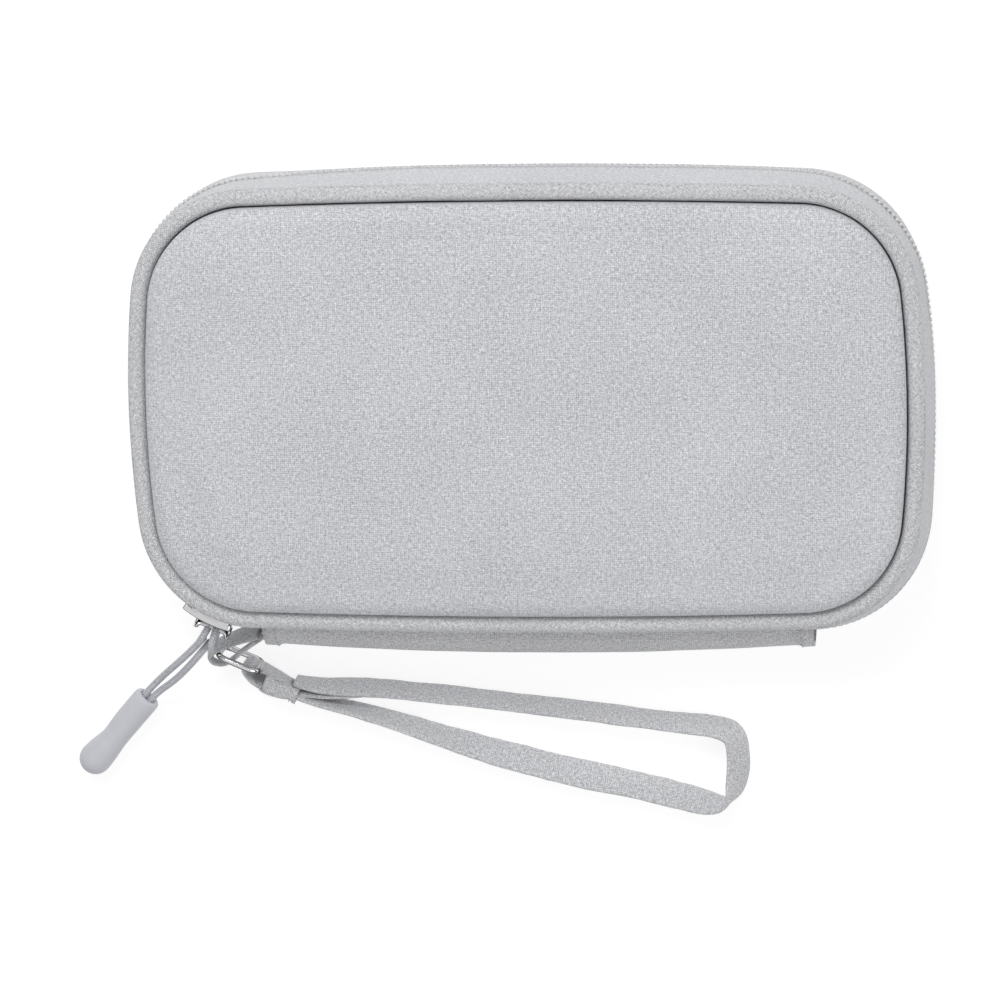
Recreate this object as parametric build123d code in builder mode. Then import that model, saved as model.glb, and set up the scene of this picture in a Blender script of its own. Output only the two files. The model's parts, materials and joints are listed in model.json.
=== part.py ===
"""Cable organizer pouch: a piped fabric clamshell with a coil zip, a corded
zip pull and a wrist strap on a wire ring. Millimetres, builder mode.

The pouch lies on its back panel. X runs along its length, Y from the spine
(the fabric hinge, on the -Y side) to the opening side, Z from the back panel
to the front panel. The origin is under the middle of the closed pouch.
"""

import os
from math import asin, cos, degrees, radians, sin, tan

from build123d import *

# ---------------------------------------------------------------- overall size
BODY_LENGTH = 190.0        # over the zip, end to end
BODY_DEPTH = 110.8         # over the zip, hinge side to opening side
THICKNESS = 36.0           # back panel's face to front panel's face
CORNER_RADIUS = 30.0       # of the zip line
SHORT_SIDE_BOW = 1.2       # how far each short side swells past its corners
LONG_SIDE_BOW = 1.0        # how far each long side swells past its corners

# ---------------------------------------------------------------- cloth layers
OUTER_FABRIC = 1.0         # panel cloth with its backing
FOAM_THICKNESS = 3.0
LINING_THICKNESS = 0.6
LAYER_GAP = 0.2            # air between layers that lie on each other
LINING_GAP = 0.3           # air round the lining, inside the panel
FOAM_GAP = 0.3             # air over the foam's face
FOAM_SIDE_GAP = 0.5        # air round the foam's sides
FOAM_EDGE_EASE = 1.2       # the foam's edge radius, less than the cloth's over it
EDGE_RADIUS = 4.5          # where a panel's face turns into its side

# ---------------------------------------------------------------- zip and piping
COIL_WIDTH = 1.5           # coil, measured outwards
COIL_HEIGHT = 1.5          # coil, measured along the pouch's thickness
COIL_GAP = 1.0             # between the front and the back coil
TAPE_THICKNESS = 0.8
TAPE_RISE = 0.3            # the tape's free edge, past the coil's edge
TAPE_LIP = 0.6             # the tape's turned-in seam allowance
LIP_INSET = 0.4            # seam allowances stop short of the lining by this
LINING_BEHIND_TAPE = 0.6   # the lining's upright side, behind the tape
HEM_HEIGHT = 5.0           # the lining's free edge, from the zip's middle
TRACK_GAP = 0.3            # each end of the tape, from the spine's end
PIPING_INSET = 2.1         # piping's outside, inwards from the coil's outside
PIPING_RADIUS = 2.3
PIPING_CORD_RADIUS = 1.5
PIPING_DEPTH = 6.0         # piping's centre, in from the panel's face
FIT_GAP = 0.05             # between a cord and what holds it
STOP_TURN = 2.4            # degrees of the corner that a zip's end stop takes
STOP_GAP_TURN = 0.6        # degrees between the end stop and the coil
STOP_PROUD = 0.2           # the end stop, outwards past the coil
STOP_OVERHANG = 0.1        # and past each of the coil's edges
STOP_CORNER = 0.4

# ---------------------------------------------------------------- spine
SPINE_REACH = 5.4          # the fold, outwards from the coil's outside
SPINE_PAST_CORNER = 1.2    # each end of the spine, past the start of the corner
SPINE_THICKNESS = 1.5
FOLD_GAP = 0.25            # each leaf's edge, from the fold line

# ---------------------------------------------------------------- slider
SLIDER_ANGLE = 243.0       # on the corner by the spine's end
SLIDER_LENGTH = 12.6
SLIDER_WIDTH = 5.8
PLATE_THICKNESS = 1.2
PLATE_CLEARANCE = 0.9      # outer plate above the coil
INNER_CLEARANCE = 0.7      # inner plate behind the tape
POST_THICKNESS = 0.5
POST_LENGTH = 1.8
POST_SETBACK = 2.0         # the post, in from the slider's front end
PLATE_CORNER = 1.4
BAIL_SHIFT = 2.1           # the bail's middle, along the track from the slider's
BAIL_LENGTH = 9.0
BAIL_RISE = 4.6
BAIL_BAR = 1.2
BAIL_WIDTH = 2.0
BAIL_CORNER = 0.9
BAIL_ROOT = 1.0            # the bail's legs, before the plate trims them

# ---------------------------------------------------------------- zip pull
PULL_CORD_RADIUS = 0.85
HITCH_RADIUS = 2.35        # middle of the cord where it loops round the bail
HITCH_SPACING = 1.3        # each loop, from the bail's middle
STRAND_OFFSET = 0.95       # each strand, from the pull's middle line
PULL_AZIMUTH = 233.0
TIP_LENGTH = 26.0
TIP_NECK_RADIUS = 3.35
TIP_WAIST_RADIUS = 3.05
TIP_BULB_RADIUS = 3.95
TIP_SOCKET_DEPTH = 3.0
TIP_CHAMFER = 0.8
TIP_NECK_LENGTH = 11.0
TIP_WAIST_AT = 15.5        # the waist, from the tip's mouth
TIP_DIP = 4.7              # degrees that the tip slopes down
TIP_MOUTH_AT = (20.9, 5.85)  # forward of the bail's bar, and height
MOUTH_RUN = 2.2            # level with the tip before it goes in
# Each strand's points: forward of the bail's bar, extra spread, below the zip.
STRAND_POINTS = [(3.9, 0.0, 1.4), (9.0, 0.15, 4.0), (14.0, 0.3, 8.2)]

# ---------------------------------------------------------------- ring and strap
RING_WIRE_RADIUS = 0.75
RING_LENGTH = 10.2         # between its upright wires' middles
RING_HEIGHT = 10.8         # between its level wires' middles
RING_CORNER = 2.4
RING_AZIMUTH = -21.7
RING_FLOOR_GAP = 0.3
RING_ROUNDING = 0.97       # share of the wire's radius that its edges are rounded by
RING_FROM_SPINE_END = (-11.3, -4.7)
TAB_FROM_SPINE_END = (-0.2, 2.0, -4.6)
TAB_WIDTH = 5.5
TAB_THICKNESS = 1.2
TAB_SLACK = 0.9            # the tab's turn, past the wire, because the tab slopes
LOOP_RADIUS = 1.7          # inside a band that turns round the ring's wire
STRAP_WIDTH = 8.0
STRAP_THICKNESS = 1.6
TAIL_THICKNESS = 1.2
LEAF_WIDTH = 7.0           # the strap where it goes through the ring
LEAF_DROP = 0.4            # the leaf's middle, below the ring's
LEAF_SETBACK = 2.2         # the leaf's end, short of the keeper's middle
TAIL_WIDTH = 7.0
KEEPER_LENGTH = 9.6
KEEPER_WALL = 0.7
KEEPER_AZIMUTH = -20.0
KEEPER_FROM_RING = (7.4, -4.7)
KEEPER_CORNER = 1.6
KEEPER_INSIDE_CORNER = 0.6
STRAP_SETBACK = 0.4        # the strap's ends, past the keeper's middle
UPPER_RUN = 5.8            # straight out of the keeper: the side near the pouch
LOWER_RUN = 6.4            # the far side
TAIL_RUN = 7.5

# ---------------------------------------------------------------- inside
ELASTIC_WIDTH = 18.0
ELASTIC_THICKNESS = 0.8
ELASTIC_RISE = 3.3
ELASTIC_PITCH = 22.0
ELASTIC_LOOPS = 6
ELASTIC_STITCH = 2.0       # flat land between two loops
ELASTIC_BASE = 0.5
ELASTIC_HEEL = 1.2         # the loop's foot, where the band turns down
ELASTIC_ROWS_Y = (24.0, -19.0)
MESH_THICKNESS = 0.4
MESH_SLACK = 1.3           # pocket's hollow, between the mesh and the lining
MESH_SIDE_GAP = 0.6
MESH_TOP_Y = 20.0
BINDING_WIDTH = 6.0
BINDING_THICKNESS = 1.2

# ---------------------------------------------------------------- worked out
MIDDLE_Z = THICKNESS / 2
CENTRE_Y = SPINE_REACH / 2             # zip line's middle: the spine makes room
CORNER_X = BODY_LENGTH / 2 - SHORT_SIDE_BOW - CORNER_RADIUS
CORNER_Y = BODY_DEPTH / 2 - LONG_SIDE_BOW - CORNER_RADIUS
SHORT_ARM = (CORNER_Y**2 + SHORT_SIDE_BOW**2) / (2 * SHORT_SIDE_BOW)
LONG_ARM = (CORNER_X**2 + LONG_SIDE_BOW**2) / (2 * LONG_SIDE_BOW)
SHORT_TURN = degrees(asin(CORNER_Y / SHORT_ARM))
LONG_TURN = degrees(asin(CORNER_X / LONG_ARM))

SPINE_LENGTH = 2 * (CORNER_X + SPINE_PAST_CORNER)
FOLD_Y = CENTRE_Y - BODY_DEPTH / 2 - SPINE_REACH

PIPING_OFFSET = -PIPING_INSET - PIPING_RADIUS
PIPING_Z = THICKNESS - PIPING_DEPTH
PANEL_OFFSET = -PIPING_INSET - 2 * PIPING_RADIUS - LAYER_GAP
LIP_TOP = PIPING_Z - PIPING_RADIUS - LAYER_GAP / 2
PANEL_BASE = LIP_TOP + LAYER_GAP / 2
LINING_OFFSET = PANEL_OFFSET - OUTER_FABRIC - LINING_GAP
FOAM_TOP = THICKNESS - OUTER_FABRIC - FOAM_GAP
LINING_TOP = FOAM_TOP - FOAM_THICKNESS - LAYER_GAP
LINING_UNDERSIDE = LINING_TOP - LINING_THICKNESS

COIL_BASE = MIDDLE_Z + COIL_GAP / 2
TAPE_BASE = COIL_BASE + TAPE_RISE
TAPE_FACE = -COIL_WIDTH                # the tape's outer side
TAPE_BACK = TAPE_FACE - TAPE_THICKNESS


class Bend:
    """One arc of the zip line, seen from above: its centre, radius and angles."""

    def __init__(self, x, y, radius, start, end):
        self.x, self.y, self.radius = x, y, radius
        self.start, self.sweep = start, end - start

    def plane(self, angle):
        """The upright plane through the centre: X outwards, Y up."""
        a = radians(angle)
        return Plane((self.x, self.y, 0), x_dir=(cos(a), sin(a), 0), z_dir=(sin(a), -cos(a), 0))

    def axis(self):
        return Axis((self.x, self.y, 0), (0, 0, 1))


def bends(end_turn=LONG_TURN):
    """The zip line's arcs, anticlockwise from the hinge side's right corner."""
    low, high = CENTRE_Y - CORNER_Y, CENTRE_Y + CORNER_Y
    short, long = CORNER_RADIUS + SHORT_ARM, CORNER_RADIUS + LONG_ARM
    side_x, side_y = BODY_LENGTH / 2 - short, BODY_DEPTH / 2 - long
    return [
        Bend(CORNER_X, low, CORNER_RADIUS, 270 + end_turn, 360 - SHORT_TURN),
        Bend(side_x, CENTRE_Y, short, -SHORT_TURN, SHORT_TURN),
        Bend(CORNER_X, high, CORNER_RADIUS, SHORT_TURN, 90 - LONG_TURN),
        Bend(0, CENTRE_Y + side_y, long, 90 - LONG_TURN, 90 + LONG_TURN),
        Bend(-CORNER_X, high, CORNER_RADIUS, 90 + LONG_TURN, 180 - SHORT_TURN),
        Bend(-side_x, CENTRE_Y, short, 180 - SHORT_TURN, 180 + SHORT_TURN),
        Bend(-CORNER_X, low, CORNER_RADIUS, 180 + SHORT_TURN, 270 - end_turn),
    ]


HINGE_SIDE = Bend(
    0, CENTRE_Y - BODY_DEPTH / 2 + CORNER_RADIUS + LONG_ARM, CORNER_RADIUS + LONG_ARM,
    270 - LONG_TURN, 270 + LONG_TURN,
)
CLOSED_LINE = bends() + [HINGE_SIDE]

# The zip stops just short of the spine's ends, even at its innermost edge.
TRACK_END_TURN = degrees(
    asin((SPINE_PAST_CORNER + TRACK_GAP) / (CORNER_RADIUS + LINING_OFFSET))
)
TRACK = bends(TRACK_END_TURN)
SLIDER_CORNER = TRACK[-1]


def outline(offset):
    """Draw the closed zip line, moved outwards, as a face in the sketch."""
    with BuildLine() as line:
        for bend in CLOSED_LINE:
            CenterArc((bend.x, bend.y), bend.radius + offset, bend.start, bend.sweep)
    make_face(line.edges())


def run_around(line, draw_section):
    """Carry a section along the zip line, one turned piece for each arc."""
    for bend in line:
        with BuildSketch(bend.plane(bend.start)) as section:
            draw_section(bend.radius)
        revolve(section.sketch, axis=bend.axis(), revolution_arc=bend.sweep)


def section_box(radius, inner, outer, low, high):
    """A rectangle between two offsets from the zip line and two heights."""
    with Locations((radius + (inner + outer) / 2, (low + high) / 2)):
        Rectangle(outer - inner, high - low)


def other_half(front):
    """The back half's twin of a front piece, mirrored in the zip's middle plane."""
    mirror(front.part, about=Plane.XY.offset(MIDDLE_Z))


pieces = {}


def keep(name, builder):
    """Label a finished piece and remember it under its node's name."""
    builder.part.label = name
    pieces[name] = builder.part


# ================================================================ panels
with BuildPart() as panel_cavity:
    with BuildSketch(Plane.XY.offset(PANEL_BASE)):
        outline(PANEL_OFFSET - OUTER_FABRIC)
    extrude(amount=THICKNESS - OUTER_FABRIC - PANEL_BASE)
    fillet(panel_cavity.faces().sort_by(Axis.Z)[-1].edges(), EDGE_RADIUS - OUTER_FABRIC)

with BuildPart() as front_panel:
    with BuildSketch(Plane.XY.offset(PANEL_BASE)):
        outline(PANEL_OFFSET)
    extrude(amount=THICKNESS - PANEL_BASE)
    fillet(front_panel.faces().sort_by(Axis.Z)[-1].edges(), EDGE_RADIUS)
    add(panel_cavity.part, mode=Mode.SUBTRACT)
keep("front_panel", front_panel)

with BuildPart() as back_panel:
    other_half(front_panel)
keep("back_panel", back_panel)

# ================================================================ foam boards
with BuildPart() as front_foam:
    with BuildSketch(Plane.XY.offset(FOAM_TOP - FOAM_THICKNESS)):
        outline(PANEL_OFFSET - OUTER_FABRIC - FOAM_SIDE_GAP)
    extrude(amount=FOAM_THICKNESS)
    foam_rim = front_foam.faces().sort_by(Axis.Z)[-1].edges()
    fillet(foam_rim, EDGE_RADIUS - OUTER_FABRIC - FOAM_EDGE_EASE)
keep("front_foam", front_foam)

with BuildPart() as back_foam:
    other_half(front_foam)
keep("back_foam", back_foam)

# ================================================================ linings
LINING_WALL = TAPE_BACK - LINING_BEHIND_TAPE
LINING_HEM = MIDDLE_Z + HEM_HEIGHT     # leaves room for the slider's inner plate
LEDGE_TOP = LIP_TOP - SPINE_THICKNESS - 1.5 * LAYER_GAP
LEDGE_UNDERSIDE = LEDGE_TOP - LINING_THICKNESS


def lining_layer(offset, low, high, mode=Mode.ADD):
    """One upright-sided slab of the lining tray, or of the space inside it."""
    with BuildSketch(Plane.XY.offset(low)) as slab:
        outline(offset)
    extrude(slab.sketch, amount=high - low, mode=mode)


with BuildPart() as front_lining:
    lining_layer(LINING_WALL, LINING_HEM, LEDGE_TOP)
    lining_layer(LINING_OFFSET, LEDGE_TOP, LINING_TOP)
    lining_layer(LINING_WALL - LINING_THICKNESS, LINING_HEM, LEDGE_UNDERSIDE, Mode.SUBTRACT)
    lining_layer(LINING_OFFSET - LINING_THICKNESS, LEDGE_UNDERSIDE, LINING_UNDERSIDE, Mode.SUBTRACT)
keep("front_lining", front_lining)

with BuildPart() as back_lining:
    other_half(front_lining)
keep("back_lining", back_lining)

# ================================================================ piping
with BuildPart() as front_piping:

    def piping_section(radius):
        with Locations((radius + PIPING_OFFSET, PIPING_Z)):
            Circle(PIPING_RADIUS)
            Circle(PIPING_CORD_RADIUS + FIT_GAP, mode=Mode.SUBTRACT)

    run_around(CLOSED_LINE, piping_section)
keep("front_piping", front_piping)

with BuildPart() as back_piping:
    other_half(front_piping)
keep("back_piping", back_piping)

with BuildPart() as front_piping_cord:

    def piping_cord_section(radius):
        with Locations((radius + PIPING_OFFSET, PIPING_Z)):
            Circle(PIPING_CORD_RADIUS)

    run_around(CLOSED_LINE, piping_cord_section)
keep("front_piping_cord", front_piping_cord)

with BuildPart() as back_piping_cord:
    other_half(front_piping_cord)
keep("back_piping_cord", back_piping_cord)

# ================================================================ zip tapes
with BuildPart() as front_zip_tape:

    def tape_section(radius):
        section_box(radius, TAPE_BACK, TAPE_FACE, TAPE_BASE, LIP_TOP)
        section_box(radius, LINING_OFFSET + LIP_INSET, TAPE_FACE, LIP_TOP - TAPE_LIP, LIP_TOP)

    run_around(TRACK, tape_section)
keep("front_zip_tape", front_zip_tape)

with BuildPart() as back_zip_tape:
    other_half(front_zip_tape)
keep("back_zip_tape", back_zip_tape)

# ================================================================ zip coils
COIL_END_TURN = TRACK_END_TURN + STOP_TURN + STOP_GAP_TURN

with BuildPart() as front_zip_coil:

    def coil_section(radius):
        section_box(radius, TAPE_FACE, 0, COIL_BASE, COIL_BASE + COIL_HEIGHT)

    run_around(bends(COIL_END_TURN), coil_section)
keep("front_zip_coil", front_zip_coil)

with BuildPart() as back_zip_coil:
    other_half(front_zip_coil)
keep("back_zip_coil", back_zip_coil)

# ================================================================ zip end stops
with BuildPart() as front_zip_stop:
    with BuildSketch(SLIDER_CORNER.plane(270 - TRACK_END_TURN - STOP_TURN)):
        section_box(
            CORNER_RADIUS, TAPE_FACE + FIT_GAP, STOP_PROUD,
            COIL_BASE - STOP_OVERHANG, COIL_BASE + COIL_HEIGHT + STOP_OVERHANG,
        )
    revolve(axis=SLIDER_CORNER.axis(), revolution_arc=STOP_TURN)
    fillet(front_zip_stop.edges().filter_by(Axis.Z), STOP_CORNER)
keep("front_zip_stop", front_zip_stop)

with BuildPart() as back_zip_stop:
    other_half(front_zip_stop)
keep("back_zip_stop", back_zip_stop)

# ================================================================ spine leaves
SPINE_EDGE_Z = MIDDLE_Z + FOLD_GAP
SPINE_RADIUS = LIP_TOP - SPINE_EDGE_Z
SPINE_CENTRE_Y = FOLD_Y + SPINE_RADIUS
SPINE_SEAM_Y = CENTRE_Y - BODY_DEPTH / 2 - LINING_OFFSET - LIP_INSET

with BuildPart() as front_spine_leaf:
    with BuildSketch(Plane.YZ.offset(-SPINE_LENGTH / 2)):
        centre = (SPINE_CENTRE_Y, SPINE_EDGE_Z)
        inside = SPINE_RADIUS - SPINE_THICKNESS
        with BuildLine():
            outer = CenterArc(centre, SPINE_RADIUS, 90, 90)
            inner = CenterArc(centre, inside, 90, 90)
            Line(outer @ 1, inner @ 1)
            Polyline(
                outer @ 0,
                (SPINE_SEAM_Y, SPINE_EDGE_Z + SPINE_RADIUS),
                (SPINE_SEAM_Y, SPINE_EDGE_Z + inside),
                inner @ 0,
            )
        make_face()
    extrude(amount=SPINE_LENGTH)
keep("front_spine_leaf", front_spine_leaf)

with BuildPart() as back_spine_leaf:
    other_half(front_spine_leaf)
keep("back_spine_leaf", back_spine_leaf)

# ================================================================ slider
PLATE_LOW = PLATE_CLEARANCE
PLATE_HIGH = PLATE_CLEARANCE + PLATE_THICKNESS
INNER_HIGH = TAPE_BACK - INNER_CLEARANCE
INNER_LOW = INNER_HIGH - PLATE_THICKNESS
SLIDER_TURN = degrees(SLIDER_LENGTH / (CORNER_RADIUS + PLATE_HIGH))
POST_TURN = degrees(POST_LENGTH / CORNER_RADIUS)


def corner_block(angle, turn, inner, outer, width):
    """A block turned about the corner, centred on an angle and on the zip."""
    with BuildSketch(SLIDER_CORNER.plane(angle - turn / 2)) as section:
        section_box(CORNER_RADIUS, inner, outer, MIDDLE_Z - width / 2, MIDDLE_Z + width / 2)
    revolve(section.sketch, axis=SLIDER_CORNER.axis(), revolution_arc=turn)


with BuildPart() as slider_body:
    corner_block(SLIDER_ANGLE, SLIDER_TURN, PLATE_LOW, PLATE_HIGH, SLIDER_WIDTH)
    corner_block(SLIDER_ANGLE, SLIDER_TURN, INNER_LOW, INNER_HIGH, SLIDER_WIDTH)
    # The edges through the plates' thickness are their corners.
    plate_corners = slider_body.edges().filter_by(
        lambda edge: abs(edge.length - PLATE_THICKNESS) < FIT_GAP
    )
    fillet(plate_corners, PLATE_CORNER)
    front_end = SLIDER_ANGLE + SLIDER_TURN / 2 - degrees(POST_SETBACK / CORNER_RADIUS)
    post_angle = front_end - POST_TURN / 2
    corner_block(post_angle, POST_TURN, INNER_HIGH, PLATE_LOW, POST_THICKNESS)
keep("slider_body", slider_body)

# ================================================================ slider bail
PLATE_RADIUS = CORNER_RADIUS + PLATE_HIGH
BAIL_ANGLE = SLIDER_ANGLE + degrees(BAIL_SHIFT / PLATE_RADIUS)
BAIL_OUT = Vector(cos(radians(BAIL_ANGLE)), sin(radians(BAIL_ANGLE)), 0)
BAIL_ALONG = Vector(-BAIL_OUT.Y, BAIL_OUT.X, 0)
CORNER_CENTRE = Vector(SLIDER_CORNER.x, SLIDER_CORNER.y, MIDDLE_Z)
BAR_CENTRE = CORNER_CENTRE + BAIL_OUT * (PLATE_RADIUS + BAIL_RISE - BAIL_BAR / 2)

with BuildPart() as slider_bail:
    bail_foot = CORNER_CENTRE + BAIL_OUT * PLATE_RADIUS
    bail_plane = Plane(bail_foot, x_dir=BAIL_ALONG, z_dir=(0, 0, -1))
    with BuildSketch(bail_plane):
        with Locations((0, (BAIL_RISE - BAIL_ROOT) / 2)):
            RectangleRounded(BAIL_LENGTH, BAIL_RISE + BAIL_ROOT, BAIL_CORNER)
        with Locations((0, (BAIL_RISE - BAIL_BAR) / 2 - BAIL_ROOT)):
            Rectangle(
                BAIL_LENGTH - 2 * BAIL_BAR, BAIL_RISE - BAIL_BAR + 2 * BAIL_ROOT,
                mode=Mode.SUBTRACT,
            )
    extrude(amount=BAIL_WIDTH / 2, both=True)
    with Locations(CORNER_CENTRE):
        Cylinder(PLATE_RADIUS, BAIL_WIDTH * 2, mode=Mode.SUBTRACT)
keep("slider_bail", slider_bail)

# ================================================================ pull's hitch
with BuildPart() as pull_hitch:
    for side in (-1, 1):
        loop_centre = BAR_CENTRE + BAIL_ALONG * (side * HITCH_SPACING)
        with Locations(Plane(loop_centre, z_dir=BAIL_ALONG)):
            Torus(HITCH_RADIUS, PULL_CORD_RADIUS)
keep("pull_hitch", pull_hitch)

# ================================================================ pull's cord
PULL_FORWARD = Vector(cos(radians(PULL_AZIMUTH)), sin(radians(PULL_AZIMUTH)), 0)
PULL_ACROSS = Vector(-PULL_FORWARD.Y, PULL_FORWARD.X, 0)


def pull_point(forward, across, height):
    flat = BAR_CENTRE + PULL_FORWARD * forward + PULL_ACROSS * across
    return Vector(flat.X, flat.Y, height)


def tip_point(along, across=0.0):
    """A point on the tip's middle line, measured from its mouth."""
    forward = TIP_MOUTH_AT[0] + along * cos(radians(TIP_DIP))
    return pull_point(forward, across, TIP_MOUTH_AT[1] - along * sin(radians(TIP_DIP)))


def cord_radii(points):
    """The largest arc at each corner that its two runs leave room for."""
    radii = []
    for before, here, after in zip(points, points[1:], points[2:]):
        turn = (here - before).get_angle(after - here)
        run = min((here - before).length, (after - here).length)
        radii.append(0.45 * run / tan(radians(turn / 2)))
    return radii


with BuildPart() as pull_cord:
    for side in (-1, 1):
        route = [
            pull_point(forward, side * (STRAND_OFFSET + spread), MIDDLE_Z - below)
            for forward, spread, below in STRAND_POINTS
        ]
        route.append(tip_point(-MOUTH_RUN, side * STRAND_OFFSET))
        route.append(tip_point(TIP_SOCKET_DEPTH, side * STRAND_OFFSET))
        radii = cord_radii(route)
        print("pull strand radii", [round(radius, 1) for radius in radii])
        with BuildLine() as strand:
            FilletPolyline(*route, radius=radii)
        path = strand.wires()[0]
        with BuildSketch(Plane(path @ 0, z_dir=path % 0)):
            Circle(PULL_CORD_RADIUS)
        sweep(path=path)
        print("strand length", round(path.length, 2))
keep("pull_cord", pull_cord)

# ================================================================ pull's tip
with BuildPart() as pull_tip:
    mouth = tip_point(0)
    tip_axis = (tip_point(1) - mouth).normalized()
    tip_plane = Plane(mouth, x_dir=tip_axis, z_dir=PULL_ACROSS)
    with BuildSketch(tip_plane):
        with BuildLine():
            Polyline((0, 0), (0, TIP_NECK_RADIUS - TIP_CHAMFER), (TIP_CHAMFER, TIP_NECK_RADIUS))
            Spline(
                (TIP_CHAMFER, TIP_NECK_RADIUS),
                (TIP_NECK_LENGTH, TIP_NECK_RADIUS),
                (TIP_WAIST_AT, TIP_WAIST_RADIUS),
                (TIP_LENGTH - TIP_BULB_RADIUS, TIP_BULB_RADIUS),
                tangents=((1, 0), (1, 0)),
            )
            CenterArc((TIP_LENGTH - TIP_BULB_RADIUS, 0), TIP_BULB_RADIUS, 0, 90)
            Line((TIP_LENGTH, 0), (0, 0))
        make_face()
    revolve(axis=Axis(mouth, tip_axis))
    with BuildSketch(Plane(mouth, x_dir=PULL_ACROSS, z_dir=tip_axis)):
        SlotOverall(
            2 * (STRAND_OFFSET + PULL_CORD_RADIUS + FIT_GAP), 2 * (PULL_CORD_RADIUS + FIT_GAP)
        )
    extrude(amount=TIP_SOCKET_DEPTH, mode=Mode.SUBTRACT)
keep("pull_tip", pull_tip)

# ================================================================ strap ring
SPINE_END = Vector(-SPINE_LENGTH / 2, FOLD_Y, MIDDLE_Z)
TAB_SEAM = SPINE_END + Vector(*TAB_FROM_SPINE_END)
LEFT_WIRE = Vector(SPINE_END.X, SPINE_END.Y, 0) + Vector(*RING_FROM_SPINE_END)
RING_ALONG = Vector(cos(radians(RING_AZIMUTH)), sin(radians(RING_AZIMUTH)), 0)
RIGHT_WIRE = LEFT_WIRE + RING_ALONG * RING_LENGTH
RING_Z = RING_FLOOR_GAP + RING_WIRE_RADIUS + RING_HEIGHT / 2

with BuildPart() as strap_ring:
    ring_middle = (LEFT_WIRE + RIGHT_WIRE) * 0.5 + Vector(0, 0, RING_Z)
    ring_plane = Plane(ring_middle, x_dir=RING_ALONG, z_dir=RING_ALONG.cross(Vector(0, 0, 1)))
    with BuildSketch(ring_plane):
        RectangleRounded(
            RING_LENGTH + 2 * RING_WIRE_RADIUS, RING_HEIGHT + 2 * RING_WIRE_RADIUS,
            RING_CORNER + RING_WIRE_RADIUS,
        )
        RectangleRounded(
            RING_LENGTH - 2 * RING_WIRE_RADIUS, RING_HEIGHT - 2 * RING_WIRE_RADIUS,
            RING_CORNER - RING_WIRE_RADIUS, mode=Mode.SUBTRACT,
        )
    extrude(amount=RING_WIRE_RADIUS, both=True)
    ring_rims = strap_ring.faces().filter_by(Plane(origin=(0, 0, 0), z_dir=ring_plane.z_dir))
    fillet(ring_rims.edges(), RING_WIRE_RADIUS * RING_ROUNDING)
keep("strap_ring", strap_ring)


def band_loop(wrap, seam, inside, thickness, width, up):
    """A band folded round a wire at wrap, its two ends together at seam."""
    along = seam - wrap
    plane = Plane(wrap, x_dir=along, z_dir=up)
    far = along.length
    for grown, mode in ((thickness, Mode.ADD), (0, Mode.SUBTRACT)):
        with BuildSketch(plane) as shape:
            Circle(inside + grown)
            with Locations((far, 0)):
                Circle(grown + FIT_GAP)
            make_hull()
        extrude(shape.sketch, amount=width / 2, both=True, mode=mode)


# ================================================================ ring tab
with BuildPart() as ring_tab:
    wire_middle = LEFT_WIRE + Vector(0, 0, RING_Z)
    tab_along = (TAB_SEAM - wire_middle).normalized()
    tab_wrap = wire_middle - tab_along * TAB_SLACK
    tab_up = tab_along.cross(Vector(0, 0, 1)).cross(tab_along)
    band_loop(tab_wrap, TAB_SEAM, LOOP_RADIUS, TAB_THICKNESS, TAB_WIDTH, tab_up)
keep("ring_tab", ring_tab)

# ================================================================ strap keeper
KEEPER_ALONG = Vector(cos(radians(KEEPER_AZIMUTH)), sin(radians(KEEPER_AZIMUTH)), 0)
KEEPER_ACROSS = Vector(-KEEPER_ALONG.Y, KEEPER_ALONG.X, 0)
KEEPER_CENTRE = RIGHT_WIRE + Vector(*KEEPER_FROM_RING)
KEEPER_INSIDE = 2 * STRAP_THICKNESS + TAIL_THICKNESS + 4 * FIT_GAP
LEAF_Z = RING_Z - LEAF_DROP
KEEPER_TOP = LEAF_Z + LEAF_WIDTH / 2 + FIT_GAP + KEEPER_WALL
STRAP_Z = KEEPER_WALL + FIT_GAP + STRAP_WIDTH / 2

with BuildPart() as strap_keeper:
    keeper_middle = KEEPER_CENTRE + Vector(0, 0, KEEPER_TOP / 2)
    with BuildSketch(Plane(keeper_middle, x_dir=KEEPER_ACROSS, z_dir=KEEPER_ALONG)):
        RectangleRounded(KEEPER_INSIDE + 2 * KEEPER_WALL, KEEPER_TOP, KEEPER_CORNER)
        RectangleRounded(
            KEEPER_INSIDE, KEEPER_TOP - 2 * KEEPER_WALL, KEEPER_INSIDE_CORNER,
            mode=Mode.SUBTRACT,
        )
    extrude(amount=KEEPER_LENGTH / 2, both=True)
keep("strap_keeper", strap_keeper)

# ================================================================ strap leaf round the ring
with BuildPart() as strap_leaf:
    leaf_wrap = RIGHT_WIRE + Vector(0, 0, LEAF_Z)
    leaf_seam = KEEPER_CENTRE - KEEPER_ALONG * LEAF_SETBACK + Vector(0, 0, LEAF_Z)
    band_loop(leaf_wrap, leaf_seam, LOOP_RADIUS, TAIL_THICKNESS, LEAF_WIDTH, Vector(0, 0, 1))
keep("strap_leaf", strap_leaf)


# ================================================================ wrist strap
def strap_band(points, thickness, width, middle_z):
    """A band standing on its edge along a route of arcs, seen from above."""
    route = [KEEPER_CENTRE + Vector(x, y, middle_z) for x, y in points]
    radii = cord_radii(route)
    print("band radii", [round(radius, 1) for radius in radii])
    with BuildLine() as line:
        FilletPolyline(*route, radius=radii)
    path = line.wires()[0]
    with BuildSketch(Plane(path @ 0, x_dir=(0, 0, 1), z_dir=path % 0)) as section:
        Rectangle(width, thickness)
    sweep(section.sketch, path=path)
    print("band length", round(path.length, 2), "volume of its section times its length",
          round(path.length * thickness * width, 1))


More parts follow.
